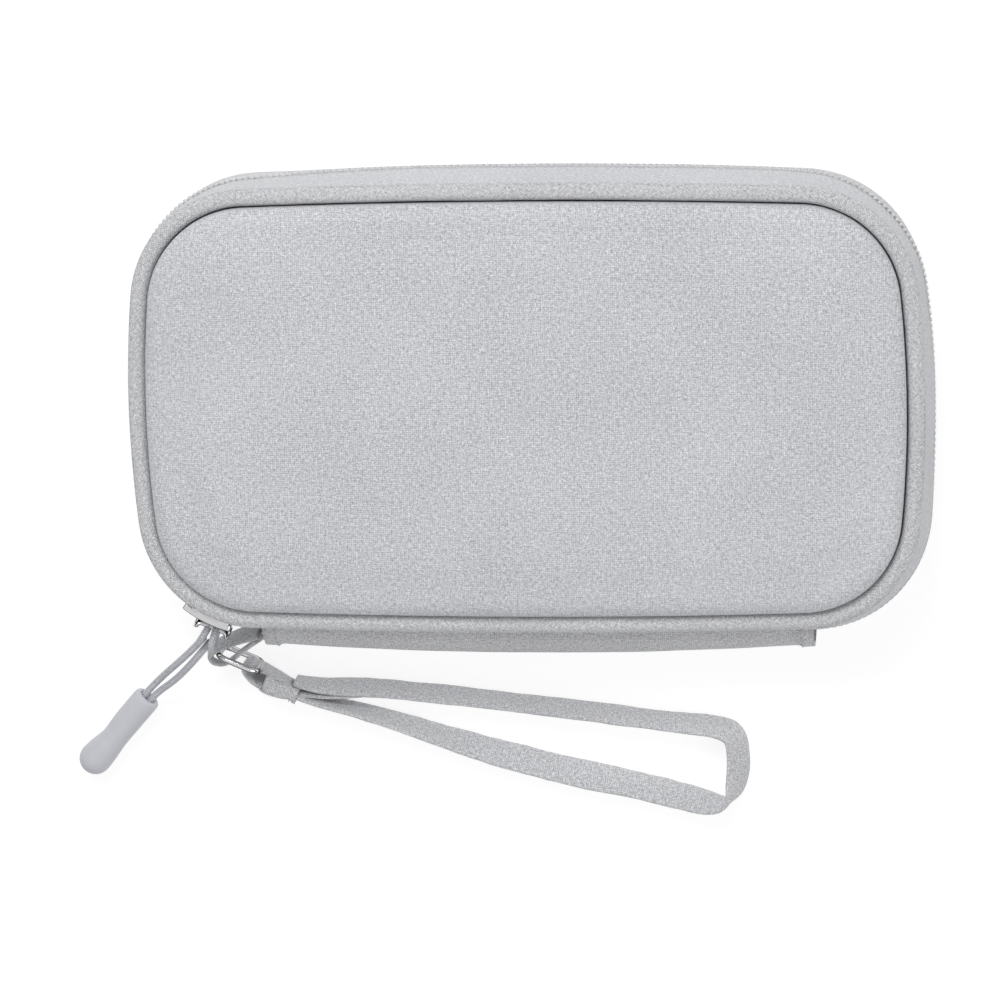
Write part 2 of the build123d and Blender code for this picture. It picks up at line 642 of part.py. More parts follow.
SIDE = (TAIL_THICKNESS + STRAP_THICKNESS) / 2 + FIT_GAP
UPPER_START = KEEPER_ALONG * STRAP_SETBACK + KEEPER_ACROSS * SIDE
LOWER_START = KEEPER_ALONG * STRAP_SETBACK - KEEPER_ACROSS * SIDE
TAIL_START = KEEPER_ALONG * STRAP_SETBACK
UPPER_OUT = UPPER_START + KEEPER_ALONG * UPPER_RUN
LOWER_OUT = LOWER_START + KEEPER_ALONG * LOWER_RUN
TAIL_OUT = TAIL_START + KEEPER_ALONG * TAIL_RUN

# The route, from the keeper's middle, along the side near the pouch, round
# the far end and back into the keeper.
WRIST_ROUTE = [
    (UPPER_START.X, UPPER_START.Y), (UPPER_OUT.X, UPPER_OUT.Y),
    (17.0, 0.1), (36.9, -1.5), (66.5, -4.3), (96.3, -8.2),
    (105.6, -11.1), (107.9, -18.6), (105.9, -25.9), (98.3, -25.9),
    (80.5, -22.4), (52.4, -16.3), (30.3, -9.4), (15.4, -5.3),
    (LOWER_OUT.X, LOWER_OUT.Y), (LOWER_START.X, LOWER_START.Y),
]

with BuildPart() as wrist_strap:
    strap_band(WRIST_ROUTE, STRAP_THICKNESS, STRAP_WIDTH, STRAP_Z)
keep("wrist_strap", wrist_strap)

# ================================================================ strap tail
TAIL_ROUTE = [(TAIL_START.X, TAIL_START.Y), (TAIL_OUT.X, TAIL_OUT.Y), (18.4, -2.8)]

with BuildPart() as strap_tail:
    strap_band(TAIL_ROUTE, TAIL_THICKNESS, TAIL_WIDTH, STRAP_Z)
keep("strap_tail", strap_tail)

# ================================================================ elastic loops
BACK_FLOOR = THICKNESS - LINING_UNDERSIDE + FIT_GAP


def elastic_row(y):
    """A strap stitched down at even steps, so that it makes a row of loops."""
    length = ELASTIC_LOOPS * ELASTIC_PITCH + (ELASTIC_LOOPS + 1) * ELASTIC_STITCH
    with BuildSketch(Plane.XZ.offset(-y)) as section:
        with Locations((0, BACK_FLOOR + ELASTIC_BASE / 2)):
            Rectangle(length, ELASTIC_BASE)
        land = BACK_FLOOR + ELASTIC_BASE
        with Locations((0, land + ELASTIC_THICKNESS / 2)):
            Rectangle(length, ELASTIC_THICKNESS)
        for index in range(ELASTIC_LOOPS):
            left = -length / 2 + ELASTIC_STITCH + index * (ELASTIC_PITCH + ELASTIC_STITCH)
            right = left + ELASTIC_PITCH
            middle = (left + right) / 2
            with BuildLine() as top:
                ThreePointArc((left, land), (middle, land + ELASTIC_RISE), (right, land))
                Line((right, land), (left, land))
            make_face(top.edges())
            with BuildLine() as hollow:
                low = ELASTIC_RISE - ELASTIC_THICKNESS
                foot, toe = left + ELASTIC_HEEL, right - ELASTIC_HEEL
                ThreePointArc((foot, land), (middle, land + low), (toe, land))
                Line((toe, land), (foot, land))
            make_face(hollow.edges(), mode=Mode.SUBTRACT)
    extrude(section.sketch, amount=ELASTIC_WIDTH / 2, both=True)


with BuildPart() as upper_elastic_row:
    elastic_row(ELASTIC_ROWS_Y[0])
keep("upper_elastic_row", upper_elastic_row)

with BuildPart() as lower_elastic_row:
    elastic_row(ELASTIC_ROWS_Y[1])
keep("lower_elastic_row", lower_elastic_row)

# ================================================================ mesh pocket
MESH_OFFSET = LINING_OFFSET - LINING_THICKNESS - MESH_SIDE_GAP
MESH_BASE = LINING_UNDERSIDE - MESH_SLACK - MESH_THICKNESS


def pocket_slice(low_y, high_y, base, thickness):
    """The part of the lid's inside outline between two lines across it."""
    with BuildSketch(Plane.XY.offset(base)) as slice_face:
        outline(MESH_OFFSET)
        with Locations((0, (low_y + high_y) / 2)):
            Rectangle(BODY_LENGTH, high_y - low_y, mode=Mode.INTERSECT)
    extrude(slice_face.sketch, amount=thickness)


with BuildPart() as mesh_pocket:
    pocket_slice(FOLD_Y, MESH_TOP_Y, MESH_BASE, MESH_THICKNESS)
keep("mesh_pocket", mesh_pocket)

with BuildPart() as mesh_binding:
    binding_base = MESH_BASE + (MESH_THICKNESS - BINDING_THICKNESS) / 2
    pocket_slice(MESH_TOP_Y, MESH_TOP_Y + BINDING_WIDTH, binding_base, BINDING_THICKNESS)
keep("mesh_binding", mesh_binding)

# ================================================================ write the pieces
os.makedirs("parts", exist_ok=True)
for name, piece in pieces.items():
    export_step(piece, f"parts/{name}.step")
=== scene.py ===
# %% [markdown]
# # Cable organizer pouch
# A flat travel pouch of heathered polyester. Two padded shells are edged with
# piping, joined by a coil zip round three sides and by a cloth spine on the
# fourth. A corded pull hangs on the slider, and a wrist strap on a wire ring.
#
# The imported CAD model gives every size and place. The looks are built round it.

import json
from math import acos, atan2, ceil, copysign, cos, degrees, exp, hypot, pi, radians, sin, sqrt

import bmesh
import bpy
from mathutils import Matrix, Vector, noise
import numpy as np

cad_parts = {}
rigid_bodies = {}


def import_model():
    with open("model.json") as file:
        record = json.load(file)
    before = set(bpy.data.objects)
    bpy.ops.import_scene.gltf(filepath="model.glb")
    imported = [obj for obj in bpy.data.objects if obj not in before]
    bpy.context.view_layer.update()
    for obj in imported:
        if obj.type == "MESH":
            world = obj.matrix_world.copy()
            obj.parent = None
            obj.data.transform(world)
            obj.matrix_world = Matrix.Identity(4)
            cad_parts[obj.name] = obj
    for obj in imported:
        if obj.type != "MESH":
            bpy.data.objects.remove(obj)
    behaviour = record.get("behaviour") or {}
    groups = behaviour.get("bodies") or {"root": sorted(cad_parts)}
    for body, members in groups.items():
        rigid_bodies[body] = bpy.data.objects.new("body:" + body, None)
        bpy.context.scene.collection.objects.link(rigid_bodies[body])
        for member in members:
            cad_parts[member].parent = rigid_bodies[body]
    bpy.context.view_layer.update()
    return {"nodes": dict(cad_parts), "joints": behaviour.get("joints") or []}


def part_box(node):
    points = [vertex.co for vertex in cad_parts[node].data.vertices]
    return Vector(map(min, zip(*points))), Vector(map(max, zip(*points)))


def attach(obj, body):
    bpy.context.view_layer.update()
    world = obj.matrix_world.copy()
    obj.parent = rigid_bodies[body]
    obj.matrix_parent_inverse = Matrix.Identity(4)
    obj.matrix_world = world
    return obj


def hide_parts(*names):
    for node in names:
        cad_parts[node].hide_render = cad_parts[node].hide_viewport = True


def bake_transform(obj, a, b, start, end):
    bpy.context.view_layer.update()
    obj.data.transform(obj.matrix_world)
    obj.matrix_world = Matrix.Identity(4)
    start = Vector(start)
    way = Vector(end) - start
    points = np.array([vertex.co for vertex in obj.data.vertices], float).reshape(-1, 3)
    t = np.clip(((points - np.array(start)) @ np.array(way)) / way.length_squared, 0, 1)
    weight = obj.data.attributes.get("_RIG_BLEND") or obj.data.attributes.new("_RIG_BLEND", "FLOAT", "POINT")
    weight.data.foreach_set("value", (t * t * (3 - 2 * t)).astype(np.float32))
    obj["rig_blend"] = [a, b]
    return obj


for leftover in list(bpy.data.objects):
    bpy.data.objects.remove(leftover)
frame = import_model()

# %% [markdown]
# ## Sizes
# Lengths are in metres, so `MM` keeps the small ones readable. The zip line is
# the path that everything sewn follows: a rounded rectangle whose long and short
# sides swell a little. It is eight arcs, each tangent to the next.

# %% Sizes from the frame
MM = 0.001
PIPING_INSET = 2.1 * MM          # the piping's outside, in from the zip's
CORNER_RADIUS = 30 * MM
SHORT_SIDE_BOW = 1.2 * MM
LONG_SIDE_BOW = 1.0 * MM

piping_low, piping_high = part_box("front_piping")
coil_low, coil_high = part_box("front_zip_coil")
panel_low, panel_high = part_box("front_panel")
spine_low, spine_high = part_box("front_spine_leaf")
joints = {joint["name"]: joint for joint in frame["joints"]}

MIDDLE_Z = joints["lid_hinge"]["pos_m"][2]
FOLD_Y = joints["lid_hinge"]["pos_m"][1]
CENTRE_Y = (piping_low.y + piping_high.y) / 2
HALF_X = piping_high.x + PIPING_INSET
HALF_Y = (piping_high.y - piping_low.y) / 2 + PIPING_INSET
PIPING_RADIUS = (piping_high.z - piping_low.z) / 2
PIPING_Z = (piping_high.z + piping_low.z) / 2
TOP_Z = panel_high.z
print("pouch", round(2 * HALF_X / MM, 1), "x", round(2 * HALF_Y / MM, 1), "mm over the zip")

# %% [markdown]
# ## The zip line
# `ZipLine` turns a distance along the seam and an offset outwards into a point,
# and a point back into a distance and an offset. Piping, tape, coil, stitches and
# panels all ask it for their places, so they line up by construction.


# %% The zip line
class ZipLine:
    """The closed seam line, anticlockwise from the spine's right end."""

    def __init__(self):
        corner_x = HALF_X - SHORT_SIDE_BOW - CORNER_RADIUS
        corner_y = HALF_Y - LONG_SIDE_BOW - CORNER_RADIUS
        short_arm = (corner_y**2 + SHORT_SIDE_BOW**2) / (2 * SHORT_SIDE_BOW)
        long_arm = (corner_x**2 + LONG_SIDE_BOW**2) / (2 * LONG_SIDE_BOW)
        short_turn = degrees(atan2(corner_y, short_arm - SHORT_SIDE_BOW))
        long_turn = degrees(atan2(corner_x, long_arm - LONG_SIDE_BOW))
        side_x = HALF_X - short_arm - CORNER_RADIUS
        side_y = HALF_Y - long_arm - CORNER_RADIUS
        low, high = CENTRE_Y - corner_y, CENTRE_Y + corner_y
        small, short, long = CORNER_RADIUS, CORNER_RADIUS + short_arm, CORNER_RADIUS + long_arm
        self.arcs = [
            (corner_x, low, small, 270 + long_turn, 360 - short_turn),
            (side_x, CENTRE_Y, short, 360 - short_turn, 360 + short_turn),
            (corner_x, high, small, 360 + short_turn, 450 - long_turn),
            (0, CENTRE_Y + side_y, long, 450 - long_turn, 450 + long_turn),
            (-corner_x, high, small, 450 + long_turn, 540 - short_turn),
            (-side_x, CENTRE_Y, short, 540 - short_turn, 540 + short_turn),
            (-corner_x, low, small, 540 + short_turn, 630 - long_turn),
            (0, CENTRE_Y - side_y, long, 630 - long_turn, 630 + long_turn),
        ]
        self.starts = [0.0]
        for _, _, radius, start, end in self.arcs:
            self.starts.append(self.starts[-1] + radius * radians(end - start))
        self.length = self.starts[-1]
        self.hinge_start = self.starts[-2]

    def angle(self, distance):
        """The arc that a distance falls on, and its angle there in radians."""
        distance %= self.length
        index = max(i for i in range(len(self.arcs)) if self.starts[i] <= distance)
        x, y, radius, start, _ = self.arcs[index]
        return (x, y, radius), radians(start) + (distance - self.starts[index]) / radius

    def at(self, distance, offset=0.0, height=0.0):
        (x, y, radius), angle = self.angle(distance)
        reach = radius + offset
        return Vector((x + reach * cos(angle), y + reach * sin(angle), height))

    def outwards(self, distance):
        _, angle = self.angle(distance)
        return Vector((cos(angle), sin(angle), 0))

    def place(self, distance, offset=0.0, height=0.0):
        """A frame on the line: X outwards, Y up, Z along the line."""
        out = self.outwards(distance)
        along = Vector((-out.y, out.x, 0))
        turned = Matrix((out, Vector((0, 0, 1)), along)).transposed().to_4x4()
        return Matrix.Translation(self.at(distance, offset, height)) @ turned

    def locate(self, x, y):
        """The distance along the line and the offset outwards of a point."""
        best = None
        for (cx, cy, radius, start, end), begin in zip(self.arcs, self.starts):
            turn = (degrees(atan2(y - cy, x - cx)) - start + 1e-6) % 360
            offset = hypot(x - cx, y - cy) - radius
            if turn <= end - start + 2e-6 and (best is None or offset > best[1]):
                best = (begin + radius * radians(turn), offset)
        return best or (0.0, -HALF_Y)


zip_line = ZipLine()

# The soft tape isn't exactly even: x, y in mm, reach along the line, and how far out
TAPE_DRIFT = [
    (-84, 48, 26, -1.9), (10, 58, 60, 0.5), (-60, 57, 14, -0.5), (86, 47, 24, -1.3),
    (80, -44, 26, 1.5), (-76, -46, 17, 1.1),
]


def drift(distance):
    """How far the zip's tape stands out from the true line at a distance along it."""
    total = 0.0
    for x, y, reach, amount in TAPE_DRIFT:
        away = distance - zip_line.locate(x * MM, y * MM)[0]
        away = (away + zip_line.length / 2) % zip_line.length - zip_line.length / 2
        total += amount * MM * exp(-((away / (reach * MM)) ** 2))
    return total


print("zip line", round(zip_line.length / MM, 1), "mm long")

# %% [markdown]
# ## The camera comes first
# The pouch lies on its back and is seen from almost straight above, with a long
# lens, so that its far side and its right side just show. `look_from` is the
# direction from the object to the camera.

# %% Camera
VIEW_LEAN_X, VIEW_LEAN_Y = 6.2, 12.4         # degrees from straight above
VIEW_DISTANCE = 1.2
LENS = 185.5
AIM = Vector((-0.0062, -0.0188, PIPING_Z))

look_from = Vector((sin(radians(VIEW_LEAN_X)), sin(radians(VIEW_LEAN_Y)), 0))
look_from.z = sqrt(1 - look_from.length_squared)
camera_data = bpy.data.cameras.new("camera")
camera_data.lens = LENS
camera_data.clip_start, camera_data.clip_end = 0.05, 20
camera = bpy.data.objects.new("camera", camera_data)
bpy.context.scene.collection.objects.link(camera)
camera_right = (Vector((1, 0, 0)) - look_from * look_from.x).normalized()
camera_up = look_from.cross(camera_right)
camera_turn = Matrix((camera_right, camera_up, look_from)).transposed().to_4x4()
camera.matrix_world = Matrix.Translation(AIM + look_from * VIEW_DISTANCE) @ camera_turn
bpy.context.scene.camera = camera
print("camera at", [round(x, 3) for x in camera.matrix_world.translation])

# %% [markdown]
# ## Colours
# Screen colours are squared off into light values with the sRGB curve.


# %% Colour helper
def tone(red, green, blue):
    """A screen colour, 0 to 255, as linear light."""
    linear = []
    for value in (red, green, blue):
        share = value / 255
        linear.append(share / 12.92 if share <= 0.04045 else ((share + 0.055) / 1.055) ** 2.4)
    return (*linear, 1.0)


# %% [markdown]
# ## Shared shader effects
# An effect that several finishes use is a node group. `Plain weave` draws threads
# that go over and under each other, from a UV map in metres. `Heather` mixes
# light and dark fibres along the threads. `Fine wear` gives metal and rubber
# their faint scratches and dust. Each is built once.


# %% Node group helpers
def new_group(name, inputs, outputs):
    """An empty node group with its sockets, its input node and its output node."""
    tree = bpy.data.node_groups.new(name, "ShaderNodeTree")
    for title, kind, default in inputs:
        socket = tree.interface.new_socket(title, in_out="INPUT", socket_type=kind)
        if default is not None:
            socket.default_value = default
    for title, kind in outputs:
        tree.interface.new_socket(title, in_out="OUTPUT", socket_type=kind)
    return tree, tree.nodes.new("NodeGroupInput"), tree.nodes.new("NodeGroupOutput")


def math(tree, operation, first, second=None, third=None):
    """A Math node; numbers and sockets may be mixed."""
    node = tree.nodes.new("ShaderNodeMath")
    node.operation = operation
    for socket, value in zip(node.inputs, (first, second, third)):
        if isinstance(value, (int, float)):
            socket.default_value = value
        elif value is not None:
            tree.links.new(value, socket)
    return node.outputs[0]


def scaled(tree, vector, scale):
    """A vector times a number or times three numbers."""
    node = tree.nodes.new("ShaderNodeVectorMath")
    node.operation = "MULTIPLY"
    tree.links.new(vector, node.inputs[0])
    if isinstance(scale, (tuple, list)):
        node.inputs[1].default_value = scale
    else:
        tree.links.new(scale, node.inputs[1])
    return node.outputs[0]


def noise_value(tree, vector, scale, detail=2.0, roughness=0.5):
    node = tree.nodes.new("ShaderNodeTexNoise")
    node.inputs["Scale"].default_value = scale
    node.inputs["Detail"].default_value = detail
    node.inputs["Roughness"].default_value = roughness
    tree.links.new(vector, node.inputs["Vector"])
    return node.outputs["Fac"]


def ranged(tree, value, low, high, to_low=0.0, to_high=1.0):
    node = tree.nodes.new("ShaderNodeMapRange")
    tree.links.new(value, node.inputs["Value"])
    for title, number in zip(
        ("From Min", "From Max", "To Min", "To Max"), (low, high, to_low, to_high)
    ):
        node.inputs[title].default_value = number
    return node.outputs["Result"]


# %% Plain weave group
weave_group, weave_in, weave_out = new_group(
    "plain weave",
    [("Vector", "NodeSocketVector", None), ("Threads", "NodeSocketFloat", 2100.0)],
    [("Height", "NodeSocketFloat"), ("Over", "NodeSocketFloat")],
)
wander = weave_group.nodes.new("ShaderNodeTexNoise")      # threads are never quite straight
wander.inputs["Scale"].default_value = 1500.0
wander.inputs["Detail"].default_value = 1.0
weave_group.links.new(weave_in.outputs["Vector"], wander.inputs["Vector"])
wandered = weave_group.nodes.new("ShaderNodeVectorMath")
wandered.operation = "MULTIPLY_ADD"
weave_group.links.new(wander.outputs["Color"], wandered.inputs[0])
wandered.inputs[1].default_value = (0.0008, 0.0008, 0)
weave_group.links.new(weave_in.outputs["Vector"], wandered.inputs[2])
counted = scaled(weave_group, wandered.outputs[0], weave_in.outputs["Threads"])
split = weave_group.nodes.new("ShaderNodeSeparateXYZ")
weave_group.links.new(counted, split.inputs[0])
across = math(weave_group, "COSINE", math(weave_group, "MULTIPLY", split.outputs[0], pi))
down = math(weave_group, "COSINE", math(weave_group, "MULTIPLY", split.outputs[1], pi))
crossing = math(weave_group, "MULTIPLY", across, down)
bump_of_thread = math(weave_group, "POWER", math(weave_group, "ABSOLUTE", crossing), 0.6)
weave_group.links.new(bump_of_thread, weave_out.inputs["Height"])
weave_group.links.new(
    math(weave_group, "GREATER_THAN", crossing, 0.0), weave_out.inputs["Over"]
)

# %% Heather group
heather_group, heather_in, heather_out = new_group(
    "heather",
    [("Vector", "NodeSocketVector", None), ("Over", "NodeSocketFloat", 0.5)],
    [("Shade", "NodeSocketFloat"), ("Patch", "NodeSocketFloat")],
)
heather_vector = heather_in.outputs["Vector"]
warp = noise_value(heather_group, scaled(heather_group, heather_vector, (1, 0.42, 1)), 2300.0, 1)
weft = noise_value(heather_group, scaled(heather_group, heather_vector, (0.42, 1, 1)), 2300.0, 1)
pick = heather_group.nodes.new("ShaderNodeMix")
heather_group.links.new(heather_in.outputs["Over"], pick.inputs[0])
heather_group.links.new(warp, pick.inputs[2])
heather_group.links.new(weft, pick.inputs[3])
heather_group.links.new(
    ranged(heather_group, pick.outputs[0], 0.28, 0.72), heather_out.inputs["Shade"]
)
heather_group.links.new(
    noise_value(heather_group, heather_vector, 34.0, 3), heather_out.inputs["Patch"]
)

# %% Fine wear group
wear_group, wear_in, wear_out = new_group(
    "fine wear",
    [("Vector", "NodeSocketVector", None)],
    [("Scratches", "NodeSocketFloat"), ("Smudges", "NodeSocketFloat"), ("Grain", "NodeSocketFloat")],
)
wear_vector = wear_in.outputs["Vector"]
scratch_vector = scaled(wear_group, wear_vector, (1, 9, 5))
for title, vector, scale, low, high in (
    ("Scratches", scratch_vector, 420.0, 0.55, 0.62),
    ("Smudges", wear_vector, 190.0, 0.35, 0.75),
    ("Grain", wear_vector, 5200.0, 0.2, 0.8),
):
    value = ranged(wear_group, noise_value(wear_group, vector, scale, 3), low, high)
    wear_group.links.new(value, wear_out.inputs[title])
print("node groups", [group.name for group in bpy.data.node_groups])


# %% [markdown]
# ## Finishes
# A material is a recipe: what the threads do, how light and dark the fibres are,
# and how much fuzz catches the light. Cloth reads the piece's own UV map, which
# is in metres along and across the cloth, so the weave keeps its size and bends
# with the piece. Hard pieces read Object coordinates.


# %% Cloth recipe
def material_with(name, roughness):
    made = bpy.data.materials.new(name)
    made.use_nodes = True
    shader = made.node_tree.nodes["Principled BSDF"]
    shader.inputs["Roughness"].default_value = roughness
    return made, made.node_tree, shader


def group_node(tree, group, **links):
    node = tree.nodes.new("ShaderNodeGroup")
    node.node_tree = group
    for title, value in links.items():
        if isinstance(value, (int, float)):
            node.inputs[title].default_value = value
        else:
            tree.links.new(value, node.inputs[title])
    return node


def mixed(tree, factor, first, second):
    node = tree.nodes.new("ShaderNodeMix")
    node.data_type = "RGBA"
    tree.links.new(factor, node.inputs[0])
    for socket, value in ((node.inputs[6], first), (node.inputs[7], second)):
        if isinstance(value, tuple):
            socket.default_value = value
        else:
            tree.links.new(value, socket)
    return node.outputs[2]


def add_bump(tree, shader, height, distance, strength=1.0):
    bump = tree.nodes.new("ShaderNodeBump")
    bump.inputs["Distance"].default_value = distance
    bump.inputs["Strength"].default_value = strength
    tree.links.new(height, bump.inputs["Height"])
    tree.links.new(bump.outputs["Normal"], shader.inputs["Normal"])


def cloth(name, dark, light, threads=2100.0, turn=0.0, relief=0.05, fuzz=0.35):
    """Heathered woven cloth; threads is how many lie side by side in a metre."""
    made, tree, shader = material_with(name, 0.92)
    uv = tree.nodes.new("ShaderNodeUVMap")
    uv.uv_map = "cloth"
    turned = tree.nodes.new("ShaderNodeMapping")
    turned.inputs["Rotation"].default_value = (0, 0, radians(turn))
    tree.links.new(uv.outputs["UV"], turned.inputs["Vector"])
    lay = turned.outputs["Vector"]
    weave = group_node(tree, weave_group, Vector=lay, Threads=threads)
    fibres = group_node(tree, heather_group, Vector=lay, Over=weave.outputs["Over"])
    # The weave's height is also added into the colour, so the hollows between threads are darker: painted
    # shade on top of the fibre tone.
    depth = math(tree, "MULTIPLY", weave.outputs["Height"], 0.35)
    fibre_tone_and_weave_shade = math(tree, "MULTIPLY_ADD", fibres.outputs["Shade"], 0.55, depth)
    patch = math(tree, "MULTIPLY_ADD", fibres.outputs["Patch"], 0.17, -0.03)
    tree.links.new(
        mixed(tree, math(tree, "ADD", fibre_tone_and_weave_shade, patch), dark, light), shader.inputs["Base Color"]
    )
    height = math(tree, "MULTIPLY_ADD", fibres.outputs["Shade"], 0.4, weave.outputs["Height"])
    add_bump(tree, shader, height, relief * MM)
    shader.inputs["Sheen Weight"].default_value = fuzz
    shader.inputs["Sheen Roughness"].default_value = 0.6
    shader.inputs["Specular IOR Level"].default_value = 0.2
    return made


panel_cloth = cloth("panel cloth", tone(132, 134, 142), tone(248, 249, 252), turn=0.6, relief=0.07)
piping_cloth = cloth("piping cloth", tone(128, 130, 137), tone(254, 254, 255), turn=45, relief=0.12)
strap_cloth = cloth("strap cloth", tone(120, 122, 129), tone(253, 253, 255), turn=2, relief=0.1)
spine_cloth = cloth("spine cloth", tone(118, 120, 127), tone(252, 252, 254), turn=0, relief=0.1)
tape_cloth = cloth("zip tape", tone(150, 153, 159), tone(243, 244, 247), 1700.0, 45, 0.1)
lining_cloth = cloth("lining cloth", tone(120, 123, 131), tone(176, 179, 187), 3200.0, 0, 0.03)
elastic_cloth = cloth("elastic", tone(140, 142, 150), tone(210, 212, 218), 900.0, 0, 0.12)
print("cloths", len(bpy.data.materials))


# %% Hard finishes
def plain(name, colour, roughness, second=None, metallic=0.0, relief=0.004, spread=0.08):
    """Metal, rubber or thread, with fine wear in its colour, gloss and surface."""
    made, tree, shader = material_with(name, roughness)
    place = tree.nodes.new("ShaderNodeTexCoord").outputs["Object"]
    wear = group_node(tree, wear_group, Vector=place)
    rubbed = math(tree, "MULTIPLY", wear.outputs["Smudges"], 0.6)
    tree.links.new(mixed(tree, rubbed, colour, second or colour), shader.inputs["Base Color"])
    tree.links.new(
        ranged(tree, wear.outputs["Smudges"], 0, 1, roughness - spread / 2, roughness + spread),
        shader.inputs["Roughness"],
    )
    add_bump(
        tree, shader, wear.outputs["Scratches" if metallic else "Grain"], relief * MM, 0.4
    )
    shader.inputs["Metallic"].default_value = metallic
    return made


chrome = plain("chrome metal", tone(226, 227, 230), 0.1, tone(205, 206, 211), 1.0, 0.0006, 0.06)

# Polished chrome would mirror the dark studio round it; here that reflection is painted into its base
# colour:
# bright where it faces out, a black band where the surface turns away, and a paler rim.
chrome_tree = chrome.node_tree
facing = chrome_tree.nodes.new("ShaderNodeLayerWeight")
facing.inputs["Blend"].default_value = 0.5
bands = chrome_tree.nodes.new("ShaderNodeValToRGB").color_ramp
for place, value in ((0.0, 0.98), (0.3, 0.96), (0.42, 0.05), (0.66, 0.07), (0.84, 0.62)):
    stop = bands.elements.new(place)
    stop.color = (value, value, value * 1.01, 1)
bands.elements[-1].color = (0.7, 0.7, 0.72, 1)
bands.elements.remove(bands.elements[0])
# This ramp is the painted reflection that sets the chrome's base colour.
ramp = chrome_tree.nodes[-1]
chrome_tree.links.new(facing.outputs["Facing"], ramp.inputs["Fac"])
chrome_tree.links.new(ramp.outputs["Color"], chrome_tree.nodes["Principled BSDF"].inputs["Base Color"])

rubber = plain("pull rubber", tone(197, 198, 204), 0.62, tone(205, 206, 211), 0.0, 0.01)
rubber_shader = rubber.node_tree.nodes["Principled BSDF"]
rubber_shader.inputs["Specular IOR Level"].default_value = 0.35
thread = plain("sewing thread", tone(176, 178, 186), 0.7, tone(205, 207, 212))
# Thread for the seam stitches by the piping. It is made dark so that it also stands in for the shade of the
# crease between piping and tape.
seam_thread_with_crease_shade = plain("seam thread", tone(122, 124, 130), 0.85, tone(142, 144, 150))
coil_nylon = plain("zip coil", tone(212, 212, 213), 0.5, tone(228, 227, 225))
net_yarn = plain("net yarn", tone(150, 152, 158), 0.75, tone(182, 184, 190))
core_cotton = plain("piping core", tone(225, 223, 218), 0.9, tone(238, 236, 232))
foam_sheet = plain("foam", tone(214, 214, 210), 0.95, tone(228, 228, 224), 0.0, 0.05)

# %% Braid for the pull's cord
pull_braid, braid_tree, braid_shader = material_with("pull cord braid", 0.8)
braid_uv = braid_tree.nodes.new("ShaderNodeUVMap")
braid_uv.uv_map = "cloth"
braid = group_node(
    braid_tree, weave_group,
    Vector=scaled(braid_tree, braid_uv.outputs["UV"], (1, 1, 1)), Threads=1800.0,
)
# The braid's colour follows its height, darker between the threads: painted shade.
braid_tree.links.new(
    mixed(braid_tree, braid.outputs["Height"], tone(158, 160, 168), tone(214, 216, 221)),
    braid_shader.inputs["Base Color"],
)
add_bump(braid_tree, braid_shader, braid.outputs["Height"], 0.12 * MM)
braid_shader.inputs["Sheen Weight"].default_value = 0.2

# %% [markdown]
# ## Building helpers
# Sewn pieces are a section carried along a route. `carry` extrudes a ring of
# edges from one place to the next, and notes on each vertex how far along and how
# far round it lies. `keep_uv` turns those notes into a UV map in metres.


# %% Section and sweep helpers
def circle_section(radius, count=16):
    return [(radius * cos(2 * pi * i / count), radius * sin(2 * pi * i / count)) for i in range(count)]


def band_section(width, thickness, count=20):
    """A flat band's section with rounded edges: a squared ellipse."""
    points = []
    for i in range(count):
        c, s = cos(2 * pi * i / count), sin(2 * pi * i / count)
        points.append((
            width / 2 * copysign(abs(c) ** 0.55, c), thickness / 2 * copysign(abs(s) ** 0.8, s),
        ))
    return points


def start_ring(bm, section, place):
    """The first ring of a sweep, with each vertex's distance round it noted."""
    around = bm.verts.layers.float.get("around") or bm.verts.layers.float.new("around")
    along = bm.verts.layers.float.get("along") or bm.verts.layers.float.new("along")
    verts, total = [], 0.0
    for i, (x, y) in enumerate(section):
        if i:
            total += hypot(x - section[i - 1][0], y - section[i - 1][1])
        vert = bm.verts.new(place @ Vector((x, y, 0)))
        vert[around], vert[along] = total, 0.0
        verts.append(vert)
    edges = [bm.edges.new((verts[i - 1], verts[i])) for i in range(len(verts))]
    return verts, edges, total + hypot(
        section[0][0] - section[-1][0], section[0][1] - section[-1][1]
    )


def carry(bm, section, places, closed=False, shape=None):
    """Extrude a section from place to place; shape(vert, index) may adjust each ring."""
    verts, edges, girth = start_ring(bm, section, places[0])
    along = bm.verts.layers.float["along"]
    first, rings, distance = verts, [verts], 0.0
    for before, after in zip(places, places[1:]):
        distance += (after.translation - before.translation).length
        made = bmesh.ops.extrude_edge_only(bm, edges=edges)["geom"]
        verts = [item for item in made if isinstance(item, bmesh.types.BMVert)]
        known = set(verts)
        edges = [
            item for item in made
            if isinstance(item, bmesh.types.BMEdge) and item.verts[0] in known and item.verts[1] in known
        ]
        bmesh.ops.transform(bm, matrix=after @ before.inverted(), verts=verts)
        for vert in verts:
            vert[along] = distance
        rings.append(verts)
    if shape:
        for index, ring in enumerate(rings):
            for vert in ring:
                shape(vert, index)
    keep_uv(bm, girth)
    if closed:
        bmesh.ops.remove_doubles(bm, verts=first + verts, dist=1e-6)
    else:
        bmesh.ops.holes_fill(bm, edges=[e for e in bm.edges if e.is_boundary], sides=0)
    return rings


def keep_uv(bm, girth):
    """A UV map in metres from the notes on the vertices."""
    uv = bm.loops.layers.uv.get("cloth") or bm.loops.layers.uv.new("cloth")
    around, along = bm.verts.layers.float["around"], bm.verts.layers.float["along"]
    for face in bm.faces:
        rounds = [loop.vert[around] for loop in face.loops]
        wraps = girth and max(rounds) - min(rounds) > girth / 2
        for loop, value in zip(face.loops, rounds):
            value += girth if wraps and value < girth / 2 else 0.0
            loop[uv].uv = (loop.vert[along], value)


